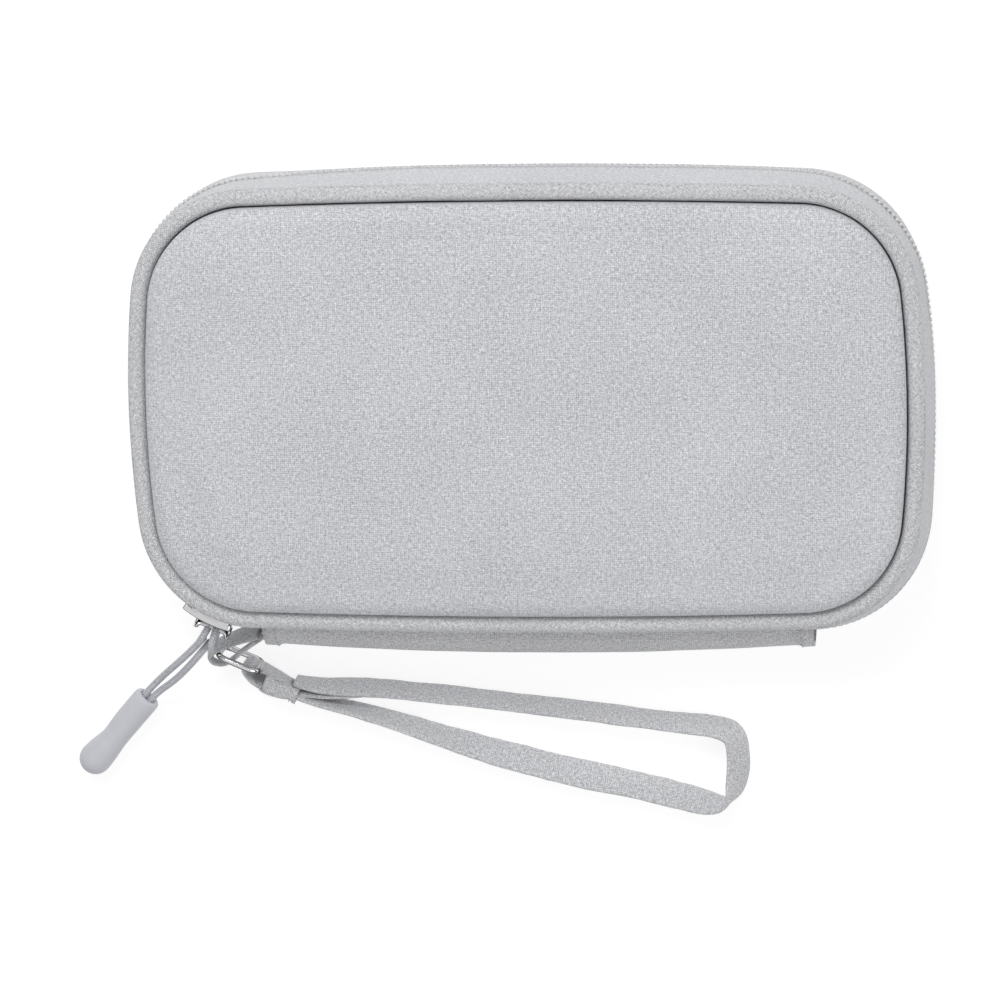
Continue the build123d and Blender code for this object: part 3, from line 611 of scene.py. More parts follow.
def flat_uv(bm):
    """A UV map in metres: from above on flat faces, along the seam on steep ones."""
    uv = bm.loops.layers.uv.get("cloth") or bm.loops.layers.uv.new("cloth")
    bm.normal_update()
    for face in bm.faces:
        steep = abs(face.normal.z) < 0.5
        begin = zip_line.locate(*face.calc_center_median().xy)[0] if steep else 0.0
        for loop in face.loops:
            x, y, z = loop.vert.co
            if steep:
                along = zip_line.locate(x, y)[0] - begin
                along -= zip_line.length * round(along / zip_line.length)
                loop[uv].uv = (begin + along, z)
            else:
                loop[uv].uv = (x, y)


def finish_piece(name, bm, material, body=None, replaces=(), outwards=True):
    """Close the bmesh into an object, smooth it, and hand it to the frame."""
    if outwards:
        bmesh.ops.recalc_face_normals(bm, faces=bm.faces)
    mesh = bpy.data.meshes.new(name)
    bm.to_mesh(mesh)
    bm.free()
    for layer in ("around", "along"):
        if layer in mesh.attributes:
            mesh.attributes.remove(mesh.attributes[layer])
    mesh.shade_smooth()
    mesh.materials.append(material)
    piece = bpy.data.objects.new(name, mesh)
    bpy.context.scene.collection.objects.link(piece)
    if replaces:
        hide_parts(*replaces)
    if body:
        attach(piece, body)
    print(name, len(mesh.polygons), "faces")
    return piece


def flipped(bm):
    """The back half's twin: the same mesh mirrored in the zip's middle plane."""
    twin = bm.copy()
    bmesh.ops.scale(twin, vec=(1, 1, -1), verts=twin.verts)
    bmesh.ops.translate(twin, vec=(0, 0, 2 * MIDDLE_Z), verts=twin.verts)
    return twin


def both_halves(name, bm, material, node=None):
    """The piece on the front half and its twin on the back half."""
    twin = flipped(bm)
    node = node or name
    front = finish_piece(f"front_{name}", bm, material, "front_half", [f"front_{node}"])
    back = finish_piece(f"back_{name}", twin, material, "back_half", [f"back_{node}"])
    return front, back


# %% [markdown]
# ## Cords
# A cord's line is smooth: a NURBS curve through a few given points.
# `smooth_line` reads its points back, so that a ribbon or a tube can follow it.


# %% Smooth routes
def smooth_line(points, resolution=12):
    """The points of a NURBS curve of order 3 along a route."""
    curve = bpy.data.curves.new("route", "CURVE")
    curve.dimensions = "3D"
    spline = curve.splines.new("NURBS")
    spline.points.add(len(points) - 1)
    for point, place in zip(spline.points, points):
        point.co = (*place, 1)
    spline.order_u = 3
    spline.use_endpoint_u = True
    spline.resolution_u = resolution
    carrier = bpy.data.objects.new("route", curve)
    mesh = bpy.data.meshes.new_from_object(carrier)
    line = [vertex.co.copy() for vertex in mesh.vertices]
    bpy.data.meshes.remove(mesh)
    bpy.data.curves.remove(curve)
    return line


def places_on(line, up=Vector((0, 0, 1)), leans=None):
    """Frames along a line: X across the band's width, Z along the line.
    A lean in degrees tips the width from up towards the line's left."""
    places = []
    for i, point in enumerate(line):
        along = (line[min(i + 1, len(line) - 1)] - line[max(i - 1, 0)]).normalized()
        left = up.cross(along).normalized()
        rise = along.cross(left)
        lean = radians(leans[i]) if leans else 0.0
        width = rise * cos(lean) + left * sin(lean)
        turned = Matrix((width, along.cross(width), along)).transposed().to_4x4()
        places.append(Matrix.Translation(point) @ turned)
    return places


# %% [markdown]
# ## Wrist strap
# The strap is a folded band, 8 mm wide. It leaves its keeper on edge, leans over
# more and more towards its far end, turns there in two soft folds and comes back.
# Its route repeats the CAD's points; each also has a height and a lean, because a
# band that leans lies lower. The ribbon is carried along the smooth line.

# %% Wrist strap
STRAP_WIDTH, STRAP_THICKNESS, STRAP_LENGTH = 8 * MM, 1.6 * MM, 0.229
# The strap, its keeper and the ring lie a little turned from where the CAD has them,
# all together, about a point on the face.
STRAP_TURN, TURNED_ABOUT = radians(-1.36), Vector((-9, -26, 0)) * MM


def settled(point):
    """Where a point of the strap, keeper or ring lies once they're turned."""
    return TURNED_ABOUT + Matrix.Rotation(STRAP_TURN, 3, "Z") @ (Vector(point) - TURNED_ABOUT)


# x, y, z in metres, and the lean in degrees
WRIST_ROUTE = [
    (-0.058551, -0.070046, 0.00475, 0), (-0.053101, -0.071500, 0.00475, -10),
    (-0.042420, -0.071170, 0.00475, -17), (-0.022520, -0.072570, 0.00475, -18),
    (0.007080, -0.075170, 0.00472, -17), (0.036880, -0.078270, 0.00470, -20),
    (0.043800, -0.078900, 0.00440, -26), (0.047500, -0.080700, 0.00420, -34),
    (0.048500, -0.085400, 0.00405, -38), (0.048100, -0.092500, 0.00405, -37),
    (0.046900, -0.097000, 0.00425, -14), (0.043000, -0.098300, 0.00430, 24),
    (0.036000, -0.096600, 0.00395, 38), (0.021080, -0.093400, 0.00395, 41),
    (-0.007020, -0.088000, 0.00405, 39), (-0.029120, -0.080900, 0.00450, 18),
    (-0.044020, -0.076770, 0.00475, 10), (-0.053530, -0.074960, 0.00475, 3),
    (-0.059540, -0.072770, 0.00475, 0),
]
wrist_line = smooth_line([settled(point[:3]) for point in WRIST_ROUTE], 14)
lean_line = smooth_line([(point[3] * MM, 0, 0) for point in WRIST_ROUTE], 14)
wrist_places = places_on(wrist_line, leans=[value.x / MM for value in lean_line])


def soft_band(vert, index):
    """Uneven filling, so that the folded cloth isn't a perfect band."""
    centre = wrist_line[index]
    swell = 1 + 0.10 * noise.noise(vert.co * 90) + 0.05 * noise.noise(vert.co * 320)
    vert.co = centre + (vert.co - centre) * swell
    vert.co.z = max(vert.co.z, 0.0002)


bm = bmesh.new()
carry(bm, band_section(STRAP_WIDTH, STRAP_THICKNESS), wrist_places, shape=soft_band)
wrist_strap = finish_piece(
    "wrist_strap_band", bm, strap_cloth, "strap", ["wrist_strap"]
)

# %% [markdown]
# ## Pull's cord
# One thin braided cord is folded in two. Both ends start in the hitch on the
# slider's bail, and the fold is moulded into the rubber tip. The points repeat
# the CAD's: forward of the bail's bar, spread to each side, and below the zip.

# %% Pull's cord
PULL_CORD = 1.7 * MM
PULL_AZIMUTH, TIP_AZIMUTH = radians(233), radians(228.9)
TIP_DIP = radians(4.7)
TIP_MOUTH_AT = (20.9 * MM, 5.85 * MM)
STRAND_OFFSET = 0.95 * MM
bar = Vector(joints["pull_flip"]["pos_m"])
pull_forward = Vector((cos(PULL_AZIMUTH), sin(PULL_AZIMUTH), 0))
pull_across = Vector((-pull_forward.y, pull_forward.x, 0))
tip_way = Vector((cos(TIP_AZIMUTH), sin(TIP_AZIMUTH), 0))
tip_axis = tip_way * cos(TIP_DIP) - Vector((0, 0, sin(TIP_DIP)))
tip_across = Vector((-tip_way.y, tip_way.x, 0))
tip_mouth = bar + pull_forward * (TIP_MOUTH_AT[0] + 3.8 * MM) - pull_across * 3.1 * MM
tip_mouth.z = TIP_MOUTH_AT[1]


def strand(side):
    points = []
    for forward, spread, below in (
        (0.9, 0.9, 0.5), (3.9, 0.95, 1.4), (9.6, 1.2, 4.0), (16.4, 1.4, 8.6)
    ):
        sideways = side * spread * MM - 2.5 * MM * (forward / 21) ** 1.5
        point = bar + pull_forward * (forward * MM) + pull_across * sideways
        point.z = MIDDLE_Z - below * MM
        points.append(point)
    for along in (-2.2, 1.2, 2.3):
        points.append(tip_mouth + tip_axis * (along * MM) + tip_across * (side * STRAND_OFFSET))
    return points


pull_route = strand(-1) + strand(1)[::-1]
pull_line = smooth_line(pull_route, 12)
bm = bmesh.new()
carry(bm, circle_section(PULL_CORD / 2, 12), places_on(pull_line))
pull_cord = finish_piece("pull_cord_loop", bm, pull_braid, "pull", ["pull_cord"])


# %% [markdown]
# ## Panels
# A panel is a foam-backed cloth face, gathered into the piping seam. It starts as
# a grid whose square rings are moved onto rounded outlines, with its rows close
# together at the rim so that the turned edge is smooth. The cloth simulation then
# blows it up a little from inside, with its rim held, as the foam does. A few soft
# creases are added where the seam gathers the cloth.

# %% Panel sheet
PANEL_OFFSET = panel_high.x - HALF_X + 0.65 * MM   # the plump cloth reaches a little further out
PANEL_EDGE = 4.5 * MM
PANEL_SEAM_Z = panel_low.z + 0.2 * MM
CROWN = 0.9 * MM                               # the middle stands above the rim
RIM_TOP_Z = TOP_Z - 0.45 * MM
SEAM_GAP = 0.3 * MM                            # a dark groove beside the piping
CREASES = [                                    # x, y, angle, half length, half width, depth
    (76, 25, -38, 10, 2.4, -0.5), (80, 16, -60, 8, 2.2, -0.35), (70, 33, -25, 7, 2.4, -0.3),
    (-68, 48, -60, 3.0, 1.1, -0.45), (-74, 44, -52, 3.5, 1.3, -0.4), (-55, 50, -80, 3, 1.2, -0.3),
    (66, -42, 55, 6, 1.8, -0.3), (-70, -36, 40, 5, 1.6, -0.3), (20, -46, 85, 3, 1.3, -0.35),
    (-20, -47, 95, 3, 1.4, -0.3), (46, -46, 80, 3.5, 1.3, -0.3), (10, 50.5, 90, 2.5, 1.2, -0.25),
]


def panel_height(inwards):
    """The panel's height at a distance in from its outline."""
    reach = min(max(inwards, 0.0), PANEL_EDGE)
    side = sqrt(max(PANEL_EDGE**2 - (PANEL_EDGE - reach) ** 2, 0.0))
    rise = CROWN * (1 - exp(-max(inwards - PANEL_EDGE, 0) / (9 * MM)))
    return RIM_TOP_Z - PANEL_EDGE + side + rise


def crease_depth(x, y):
    total = 0.0
    for cx, cy, angle, length, width, depth in CREASES:
        dx, dy = x - cx * MM, y - cy * MM
        a = radians(angle)
        along, side = dx * cos(a) + dy * sin(a), -dx * sin(a) + dy * cos(a)
        total += depth * MM * exp(-((along / (length * MM)) ** 2) - (side / (width * MM)) ** 2)
    return total


def panel_bmesh():
    bm = bmesh.new()
    bmesh.ops.create_grid(bm, x_segments=92, y_segments=56, size=1)
    for vert in bm.verts:
        a, b = vert.co.x, vert.co.y
        ring = max(abs(a), abs(b))
        if ring < 1e-9:
            continue
        square = (a / ring * HALF_X, b / ring * HALF_Y + CENTRE_Y)
        distance, _ = zip_line.locate(*square)
        rim = zip_line.at(distance, PANEL_OFFSET - SEAM_GAP)
        share = sin(min(ring, 1.0) * pi / 2)
        vert.co.x = rim.x * share
        vert.co.y = CENTRE_Y + (rim.y - CENTRE_Y) * share
    for vert in bm.verts:
        _, offset = zip_line.locate(vert.co.x, vert.co.y)
        vert.co.z = panel_height(PANEL_OFFSET - offset)
    rim = [edge for edge in bm.edges if edge.is_boundary]
    made = bmesh.ops.extrude_edge_only(bm, edges=rim)["geom"]
    for item in made:
        if isinstance(item, bmesh.types.BMVert):
            item.co.z = PANEL_SEAM_Z
    bmesh.ops.recalc_face_normals(bm, faces=bm.faces)
    flat_uv(bm)
    return bm


# %% Panel simulation
def puff(piece, pinned_below, frames=16, pressure=1.6, most=0.9 * MM):
    """Blow the sheet up from inside with its rim held, and keep the result."""
    held = piece.vertex_groups.new(name="held")
    for vertex in piece.data.vertices:
        _, offset = zip_line.locate(vertex.co.x, vertex.co.y)
        inwards = PANEL_OFFSET - offset
        weight = 1.0 if inwards < PANEL_EDGE else max(0.0, 1 - (inwards - PANEL_EDGE) / (6 * MM))
        if vertex.co.z < pinned_below:
            weight = 1.0
        if weight:
            held.add([vertex.index], weight, "REPLACE")
    before = [vertex.co.copy() for vertex in piece.data.vertices]
    settings = piece.modifiers.new("puff", "CLOTH").settings
    settings.quality = 5
    settings.mass = 0.35
    settings.tension_stiffness = settings.compression_stiffness = 14
    settings.shear_stiffness = 6
    settings.bending_stiffness = 0.6
    settings.vertex_group_mass = "held"
    settings.use_pressure = True
    settings.uniform_pressure_force = pressure
    settings.shrink_min = -0.006
    settings.effector_weights.gravity = 0
    scene = bpy.context.scene
    for number in range(1, frames + 1):
        scene.frame_set(number)
    evaluated = piece.evaluated_get(bpy.context.evaluated_depsgraph_get())
    after = [vertex.co.copy() for vertex in evaluated.data.vertices]
    piece.modifiers.clear()
    piece.vertex_groups.clear()
    scene.frame_set(1)
    moved = 0.0
    for vertex, old, new in zip(piece.data.vertices, before, after):
        step = new - old
        if step.length > most:
            step *= most / step.length
        moved = max(moved, step.length)
        vertex.co = old + step
    print(piece.name, "moved up to", round(moved / MM, 2), "mm")


# %% Panels
front_panel = finish_piece("front_panel_cloth", panel_bmesh(), panel_cloth,
                           outwards=False)
puff(front_panel, panel_low.z + 1 * MM)
for vertex in front_panel.data.vertices:
    x, y, z = vertex.co
    _, offset = zip_line.locate(x, y)
    away = min(max(PANEL_OFFSET - offset, 0) / (2 * MM), 1.0)
    slack = 0.13 * MM * noise.noise(Vector((x, y, 0)) * 38) * away
    vertex.co.z = min(z + (crease_depth(x, y) + slack) * away, TOP_Z + 0.8 * MM)

bm = bmesh.new()
bm.from_mesh(front_panel.data)
twin = flipped(bm)
bm.free()
for vert in twin.verts:
    vert.co.z = max(vert.co.z, 0.0)                 # it rests on the floor
bmesh.ops.reverse_faces(twin, faces=twin.faces)
back_panel = finish_piece("back_panel_cloth", twin, panel_cloth, outwards=False)
for panel, half in ((front_panel, "front"), (back_panel, "back")):
    wall = panel.modifiers.new("cloth and backing", "SOLIDIFY")
    wall.thickness = 1.0 * MM
    wall.offset = -1
    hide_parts(f"{half}_panel")
    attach(panel, f"{half}_half")

# %% [markdown]
# ## Piping
# Piping is a cotton cord in a bias-cut strip, so its threads run at 45 degrees.
# The ring is carried right round the seam. Its two ends meet in a butt join on
# the spine's side, where the strip is turned in and the tube is a little pinched.

# %% Piping
WRAP_RADIUS = PIPING_RADIUS - 0.2 * MM         # the seam pulls the wrap tight
PIPING_OFFSET = -PIPING_INSET - WRAP_RADIUS
PIPING_STEPS = 420
JOIN_X = -7.8 * MM
join_distance = zip_line.locate(JOIN_X, CENTRE_Y - HALF_Y)[0]


def piping_shape(vert, index):
    """A tube that isn't perfect: it swells, and it is pinched at its join."""
    distance = zip_line.length * index / PIPING_STEPS
    centre = zip_line.at(distance, PIPING_OFFSET, PIPING_Z)
    near_end = min(distance, zip_line.length - distance) / (4 * MM)
    settle = min(near_end, 1.0)
    swell = 1 + settle * (0.035 * noise.noise(vert.co * 70) + 0.03 * noise.noise(vert.co * 260))
    gap = (distance - join_distance) / MM
    swell -= 0.10 * exp(-((gap / 0.5) ** 2)) - 0.05 * exp(-(((gap - 2.2) / 1.6) ** 2))
    vert.co = centre + (vert.co - centre) * swell


bm = bmesh.new()
carry(
    bm, circle_section(WRAP_RADIUS, 20),
    [zip_line.place(zip_line.length * i / PIPING_STEPS, PIPING_OFFSET, PIPING_Z)
     for i in range(PIPING_STEPS + 1)],
    closed=True, shape=piping_shape,
)
both_halves("piping_wrap", bm, piping_cloth, "piping")

# %% [markdown]
# ## Zip tape
# The tape is a narrow woven ribbon standing on edge. Its inner edge turns in
# under the piping, and its free edge carries the coil. It runs from one end of
# the spine round three sides to the other.

# %% Zip tape
TRACK_START = CORNER_RADIUS * radians(2.2)
TRACK_END = zip_line.hinge_start - TRACK_START
TAPE_LIP_IN = -7.8 * MM
tape_low, tape_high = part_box("front_zip_tape")
TAPE_TOP_Z = PIPING_Z + 0.95 * MM                # it laps a little way up the piping


def track(start, end, step):
    """Even distances along the zip from start to end."""
    count = ceil((end - start) / step)
    return [start + (end - start) * i / count for i in range(count + 1)]


def tape_shape(distances):
    def shape(vert, index):
        """The free edge drifts and ripples; the sewn edge stays on its seam."""
        free = min(max((TAPE_TOP_Z - vert.co.z) / (TAPE_TOP_Z - tape_low.z), 0), 1)
        x, y, _ = vert.co
        ripple = 0.14 * MM * noise.noise(Vector((x, y, 0)) * 60)
        vert.co += zip_line.outwards(distances[index]) * (drift(distances[index]) + ripple) * free
    return shape


tape_section = [
    (0.35 * MM - 0.75 * MM, tape_low.z + 0.75 * MM), (-0.75 * MM, 22.2 * MM), (-1.15 * MM, 25.2 * MM),
    (-1.6 * MM, 28.0 * MM), (-2.05 * MM, TAPE_TOP_Z - 0.7 * MM), (-2.3 * MM, TAPE_TOP_Z),
    (-2.75 * MM, TAPE_TOP_Z - 0.1 * MM), (-2.5 * MM, 28.6 * MM), (-2.6 * MM, 27.6 * MM),
    (TAPE_LIP_IN, tape_high.z), (TAPE_LIP_IN, tape_high.z - 0.6 * MM), (-2.3 * MM, tape_high.z - 0.6 * MM),
    (-1.7 * MM, 24.0 * MM), (-1.3 * MM, tape_low.z + 0.6 * MM),
]
tape_track = track(TRACK_START, TRACK_END, 2 * MM)
bm = bmesh.new()
carry(bm, tape_section, [zip_line.place(s) for s in tape_track], shape=tape_shape(tape_track))
both_halves("zip_tape_ribbon", bm, tape_cloth, "zip_tape")

# %% [markdown]
# ## Zip coil
# A coil zip's teeth are one nylon wire wound in a flattened helix. Seen from
# outside they are short smooth bars, 1.5 mm apart. Each half's bars reach past
# the middle, between the other half's, so the two sets are half a pitch apart.

# %% Zip coil
COIL_PITCH = 1.5 * MM
COIL_START = CORNER_RADIUS * radians(5.2)
COIL_END = zip_line.hinge_start - COIL_START
TOOTH = (1.5 * MM, 1.9 * MM, 0.95 * MM)           # outwards, up, along the zip
TOOTH_OFFSET = -0.85 * MM


def coil_bmesh(shift):
    bm = bmesh.new()
    for s in track(COIL_START + shift, COIL_END - COIL_PITCH + shift, COIL_PITCH):
        place = zip_line.place(s, TOOTH_OFFSET + 0.7 * drift(s), MIDDLE_Z + 0.75 * MM)
        made = bmesh.ops.create_uvsphere(bm, u_segments=8, v_segments=5, radius=0.5)
        squared = Matrix.Diagonal((*TOOTH, 1))
        bmesh.ops.transform(bm, matrix=place @ squared, verts=made["verts"])
    return bm


finish_piece("front_coil_teeth", coil_bmesh(0.0), coil_nylon, "front_half",
             ["front_zip_coil"])
finish_piece("back_coil_teeth", flipped(coil_bmesh(COIL_PITCH / 2)), coil_nylon,
             "back_half", ["back_zip_coil"])


# %% [markdown]
# ## Stitches
# Sewing thread shows as a row of short slanting dashes that sink into the cloth
# at both ends. One low-poly capsule per stitch is enough.


# %% Stitch helper
def stitch_row(bm, places, length, radius):
    """A dash at each place, lying along the place's Z axis."""
    for place in places:
        made = bmesh.ops.create_uvsphere(bm, u_segments=6, v_segments=5, radius=0.5)
        stretched = Matrix.Diagonal((2 * radius, 2 * radius, length, 1))
        bmesh.ops.transform(bm, matrix=place @ stretched, verts=made["verts"])


# %% Stitches along the tape's two edges
# The seam row's dark thread is stitches and also painted shade in the crease between piping and tape.
for name, made, pitch, length, radius, offset, height, moves in (
    ("seam_stitches", seam_thread_with_crease_shade, 1.7, 1.5, 0.12, -2.5, TAPE_TOP_Z + 0.08 * MM, 0.0),
    ("coil_stitches", thread, 1.5, 1.15, 0.12, -0.62, tape_low.z + 1.9 * MM, 0.9),
):
    bm = bmesh.new()
    places = [
        zip_line.place(s, offset * MM + drift(s) * moves, height)
        for s in track(TRACK_START + 2 * MM, TRACK_END - 2 * MM, pitch * MM)
    ]
    stitch_row(bm, places, length * MM, radius * MM)
    twin = flipped(bm)
    finish_piece(f"front_{name}", bm, made, "front_half")
    finish_piece(f"back_{name}", twin, made, "back_half")

# %% [markdown]
# ## Spine
# The cloth hinge is one strip that bends round the fold, so it replaces both CAD
# leaves and is blended between the two halves. Its ends are turned in and sewn.

# %% Spine
SPINE_HALF = spine_high.x
SPINE_WALL = 1.3 * MM
spine_radius = spine_high.z - MIDDLE_Z
spine_centre_y = FOLD_Y + spine_radius
SPINE_SEAM_Y = spine_high.y


def spine_outline(radius, seam_y, count=26):
    """The strip's side: a flat lip, a half circle round the fold, a flat lip."""
    points = [(seam_y, radius)]
    for i in range(count + 1):
        a = pi / 2 + pi * i / count
        points.append((spine_centre_y + radius * cos(a), radius * sin(a)))
    points.append((seam_y, -radius))
    return points


bm = bmesh.new()
outer = spine_outline(spine_radius, SPINE_SEAM_Y)
inner = spine_outline(spine_radius - SPINE_WALL, SPINE_SEAM_Y)
spine_section = outer + inner[::-1]
to_section = Matrix(((0, 0, 1, 0), (1, 0, 0, 0), (0, 1, 0, MIDDLE_Z), (0, 0, 0, 1)))
spine_steps = 96


SPINE_SHIFT, SPINE_BOW = 1.3 * MM, 2.2 * MM


def spine_shape(vert, index):
    """Hemmed ends stand a little proud, and the strip is softly uneven."""
    x, y, z = vert.co
    end = SPINE_HALF - abs(x)
    out = Vector((0, y - spine_centre_y, z - MIDDLE_Z)).normalized()
    hem = 0.5 * MM if end < 3.4 * MM else 0.0
    hem += 0.16 * MM * noise.noise(Vector((x * 60, y * 40, z * 40)))
    if abs(z - MIDDLE_Z) < spine_radius * 0.9:
        vert.co += out * hem
    bow = x / SPINE_HALF
    vert.co += Vector((SPINE_SHIFT, SPINE_BOW * bow * bow, 0))      # it follows the seam's swell


bm_places = [
    Matrix.Translation((SPINE_HALF * (2 * i / spine_steps - 1), 0, 0)) @ to_section
    for i in range(spine_steps + 1)
]
carry(bm, spine_section, bm_places, shape=spine_shape)
spine = finish_piece(
    "spine_strip", bm, spine_cloth, None, ["front_spine_leaf", "back_spine_leaf"]
)
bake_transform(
    spine, "back_half", "front_half",
    start=(0, FOLD_Y, MIDDLE_Z - 0.8 * spine_radius), end=(0, FOLD_Y, MIDDLE_Z + 0.8 * spine_radius),
)

# %% Hem stitches at the spine's ends
bm = bmesh.new()
for side in (-1, 1):
    x = side * (SPINE_HALF - 2.9 * MM) + SPINE_SHIFT
    bow = SPINE_BOW * ((x - SPINE_SHIFT) / SPINE_HALF) ** 2
    for i in range(11):
        a = radians(100 + 16 * i)
        out = Vector((0, cos(a), sin(a)))
        centre = Vector((x, spine_centre_y + bow, MIDDLE_Z)) + out * (spine_radius + 0.5 * MM)
        along = Vector((0, -sin(a), cos(a)))
        turned = Matrix((out.cross(along), out, along)).transposed().to_4x4()
        stitch_row(bm, [Matrix.Translation(centre) @ turned], 1.9 * MM, 0.16 * MM)
spine_stitches = finish_piece("spine_hem_stitches", bm, thread)
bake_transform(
    spine_stitches, "back_half", "front_half",
    start=(0, FOLD_Y, MIDDLE_Z - 0.8 * spine_radius), end=(0, FOLD_Y, MIDDLE_Z + 0.8 * spine_radius),
)

# %% [markdown]
# ## Metal parts
# The slider, its bail and the ring are die-cast or bent from wire, then chromed.
# The slider's plates are turned about the corner's centre, so they follow the
# track. Their edges are bevelled: on chrome it is the edges that catch the light.

# %% Slider
corner_centre = Vector(joints["slider_run"]["pos_m"])
SLIDER_ANGLE = radians(243)
SLIDER_LENGTH, SLIDER_WIDTH = 12.6 * MM, 5.8 * MM
PLATE_IN, PLATE_OUT = 0.9 * MM, 2.5 * MM
INNER_IN, INNER_OUT = -4.2 * MM, -3.0 * MM


def turned_block(bm, middle, turn, inner, outer, low, high, steps=12):
    """A block between two radii and two heights, turned about the corner."""
    made = bmesh.ops.create_grid(bm, x_segments=1, y_segments=1, size=0.5)
    face = made["verts"][0].link_faces[0]
    size = Matrix.Diagonal((outer - inner, high - low, 1, 1))
    start = middle - turn / 2
    out = Vector((cos(start), sin(start), 0))
    axes = Matrix((out, Vector((0, 0, 1)), out.cross(Vector((0, 0, 1))))).transposed().to_4x4()
    centre = corner_centre + out * (CORNER_RADIUS + (inner + outer) / 2)
    centre.z = MIDDLE_Z + (low + high) / 2
    bmesh.ops.transform(bm, matrix=Matrix.Translation(centre) @ axes @ size, verts=made["verts"])
    bmesh.ops.spin(
        bm, geom=[face, *face.edges, *face.verts], cent=corner_centre, axis=(0, 0, 1),
        angle=turn, steps=steps,
    )


def round_edges(bm, width, segments=3, sharpest=35):
    """Bevel every edge that turns by more than a given angle."""
    bmesh.ops.remove_doubles(bm, verts=bm.verts, dist=1e-6)
    bmesh.ops.recalc_face_normals(bm, faces=bm.faces)
    sharp = [
        edge for edge in bm.edges
        if len(edge.link_faces) == 2 and edge.calc_face_angle(0) > radians(sharpest)
    ]
    bmesh.ops.bevel(bm, geom=sharp, offset=width, offset_type="OFFSET", segments=segments,
                    profile=0.5, affect="EDGES", material=-1, clamp_overlap=True)


slider_turn = SLIDER_LENGTH / (CORNER_RADIUS + PLATE_OUT)
bm = bmesh.new()
half = SLIDER_WIDTH / 2
for inner, outer in ((PLATE_IN, PLATE_OUT), (INNER_IN, INNER_OUT)):
    block = bmesh.new()
    turned_block(block, SLIDER_ANGLE, slider_turn, inner, outer, -half, half)
    for vert in block.verts:                      # the nose is narrower than the mouth
        angle = atan2(vert.co.y - corner_centre.y, vert.co.x - corner_centre.x) % (2 * pi)
        along = (angle - SLIDER_ANGLE) / (slider_turn / 2)
        narrow = 1 - 0.16 * max(0.0, -along) ** 2 - 0.05 * max(0.0, along) ** 3
        vert.co.z = MIDDLE_Z + (vert.co.z - MIDDLE_Z) * narrow
    round_edges(block, 0.32 * MM)
    made = bpy.data.meshes.new("block")
    block.to_mesh(made)
    block.free()
    bm.from_mesh(made)
    bpy.data.meshes.remove(made)
for low, high in ((-half + 0.05 * MM, -half + 0.55 * MM), (half - 0.55 * MM, half - 0.05 * MM)):
    flange = bmesh.new()
    turned_block(flange, SLIDER_ANGLE + 0.02, slider_turn * 0.8, 0.25 * MM, 1.3 * MM, low, high, 10)
    round_edges(flange, 0.14 * MM, 2)
    made = bpy.data.meshes.new("flange")
    flange.to_mesh(made)
    flange.free()
    bm.from_mesh(made)
    bpy.data.meshes.remove(made)
post_low, post_high = -0.25 * MM, 0.25 * MM
turned_block(bm, SLIDER_ANGLE + slider_turn * 0.31, 0.055, INNER_OUT - 0.2 * MM, PLATE_IN + 0.2 * MM,
             post_low, post_high, 3)
finish_piece("slider_casting", bm, chrome, "slider", ["slider_body"])


# %% [markdown]
# The bail and the ring are wire. `Wire` starts as a circle of edges and grows:
# `run` extrudes it straight, and `turn` spins it round a bend.


# %% Wire helper
class Wire:
    def __init__(self, start, along, radius, flat=1.0, count=16, up=Vector((0, 0, 1))):
        self.bm = bmesh.new()
        across = up.cross(along).normalized()
        axes = Matrix((across, along.cross(across), along)).transposed().to_4x4()
        size = Matrix.Diagonal((1, flat, 1, 1))
        made = bmesh.ops.create_circle(
            self.bm, segments=count, radius=radius, matrix=Matrix.Translation(start) @ axes @ size
        )
        self.edges = list({edge for vert in made["verts"] for edge in vert.link_edges})
        self.first = made["verts"]

    def run(self, move):
        made = bmesh.ops.extrude_edge_only(self.bm, edges=self.edges)["geom"]
        verts = [item for item in made if isinstance(item, bmesh.types.BMVert)]
        bmesh.ops.translate(self.bm, vec=move, verts=verts)
        self.keep(made, verts)
        return self

    def turn(self, centre, axis, angle, steps=8):
        verts = list({vert for edge in self.edges for vert in edge.verts})
        made = bmesh.ops.spin(
            self.bm, geom=[*verts, *self.edges], cent=centre, axis=axis, angle=radians(angle),
            steps=steps,
        )["geom_last"]
        self.keep(made, [item for item in made if isinstance(item, bmesh.types.BMVert)])
        return self

    def keep(self, made, verts):
        known = set(verts)
        self.edges = [
            item for item in made
            if isinstance(item, bmesh.types.BMEdge) and item.verts[0] in known and item.verts[1] in known
        ]

    def closed(self):
        bmesh.ops.remove_doubles(self.bm, verts=self.bm.verts, dist=2e-6)
        return self.bm

    def capped(self):
        ends = [edge for edge in self.bm.edges if edge.is_boundary]
        bmesh.ops.holes_fill(self.bm, edges=ends, sides=0)
        return self.bm


# %% Bail
BAIL_LENGTH, BAIL_RISE, BAIL_BAR, BAIL_WIDTH = 9.0 * MM, 4.6 * MM, 1.2 * MM, 2.0 * MM
BAIL_BEND = 1.3 * MM
bail_angle = SLIDER_ANGLE + radians(3.75)
bail_out = Vector((cos(bail_angle), sin(bail_angle), 0))
bail_along = Vector((-bail_out.y, bail_out.x, 0))
bail_foot = bar - bail_out * (BAIL_RISE - BAIL_BAR / 2 + 0.3 * MM)
leg = bail_along * ((BAIL_LENGTH - BAIL_BAR) / 2)
leg_rise = (BAIL_RISE - BAIL_BAR / 2 + 0.3 * MM) - BAIL_BEND
bail_axis = bail_out.cross(bail_along)
wire = Wire(bail_foot - leg, bail_out, BAIL_WIDTH / 2, BAIL_BAR / BAIL_WIDTH, 20, bail_along)
wire.run(bail_out * leg_rise)
bend_centre = bail_foot - leg + bail_out * leg_rise + bail_along * BAIL_BEND
wire.turn(bend_centre, -bail_along.cross(bail_out), -90)
wire.run(bail_along * (2 * leg.length - 2 * BAIL_BEND))
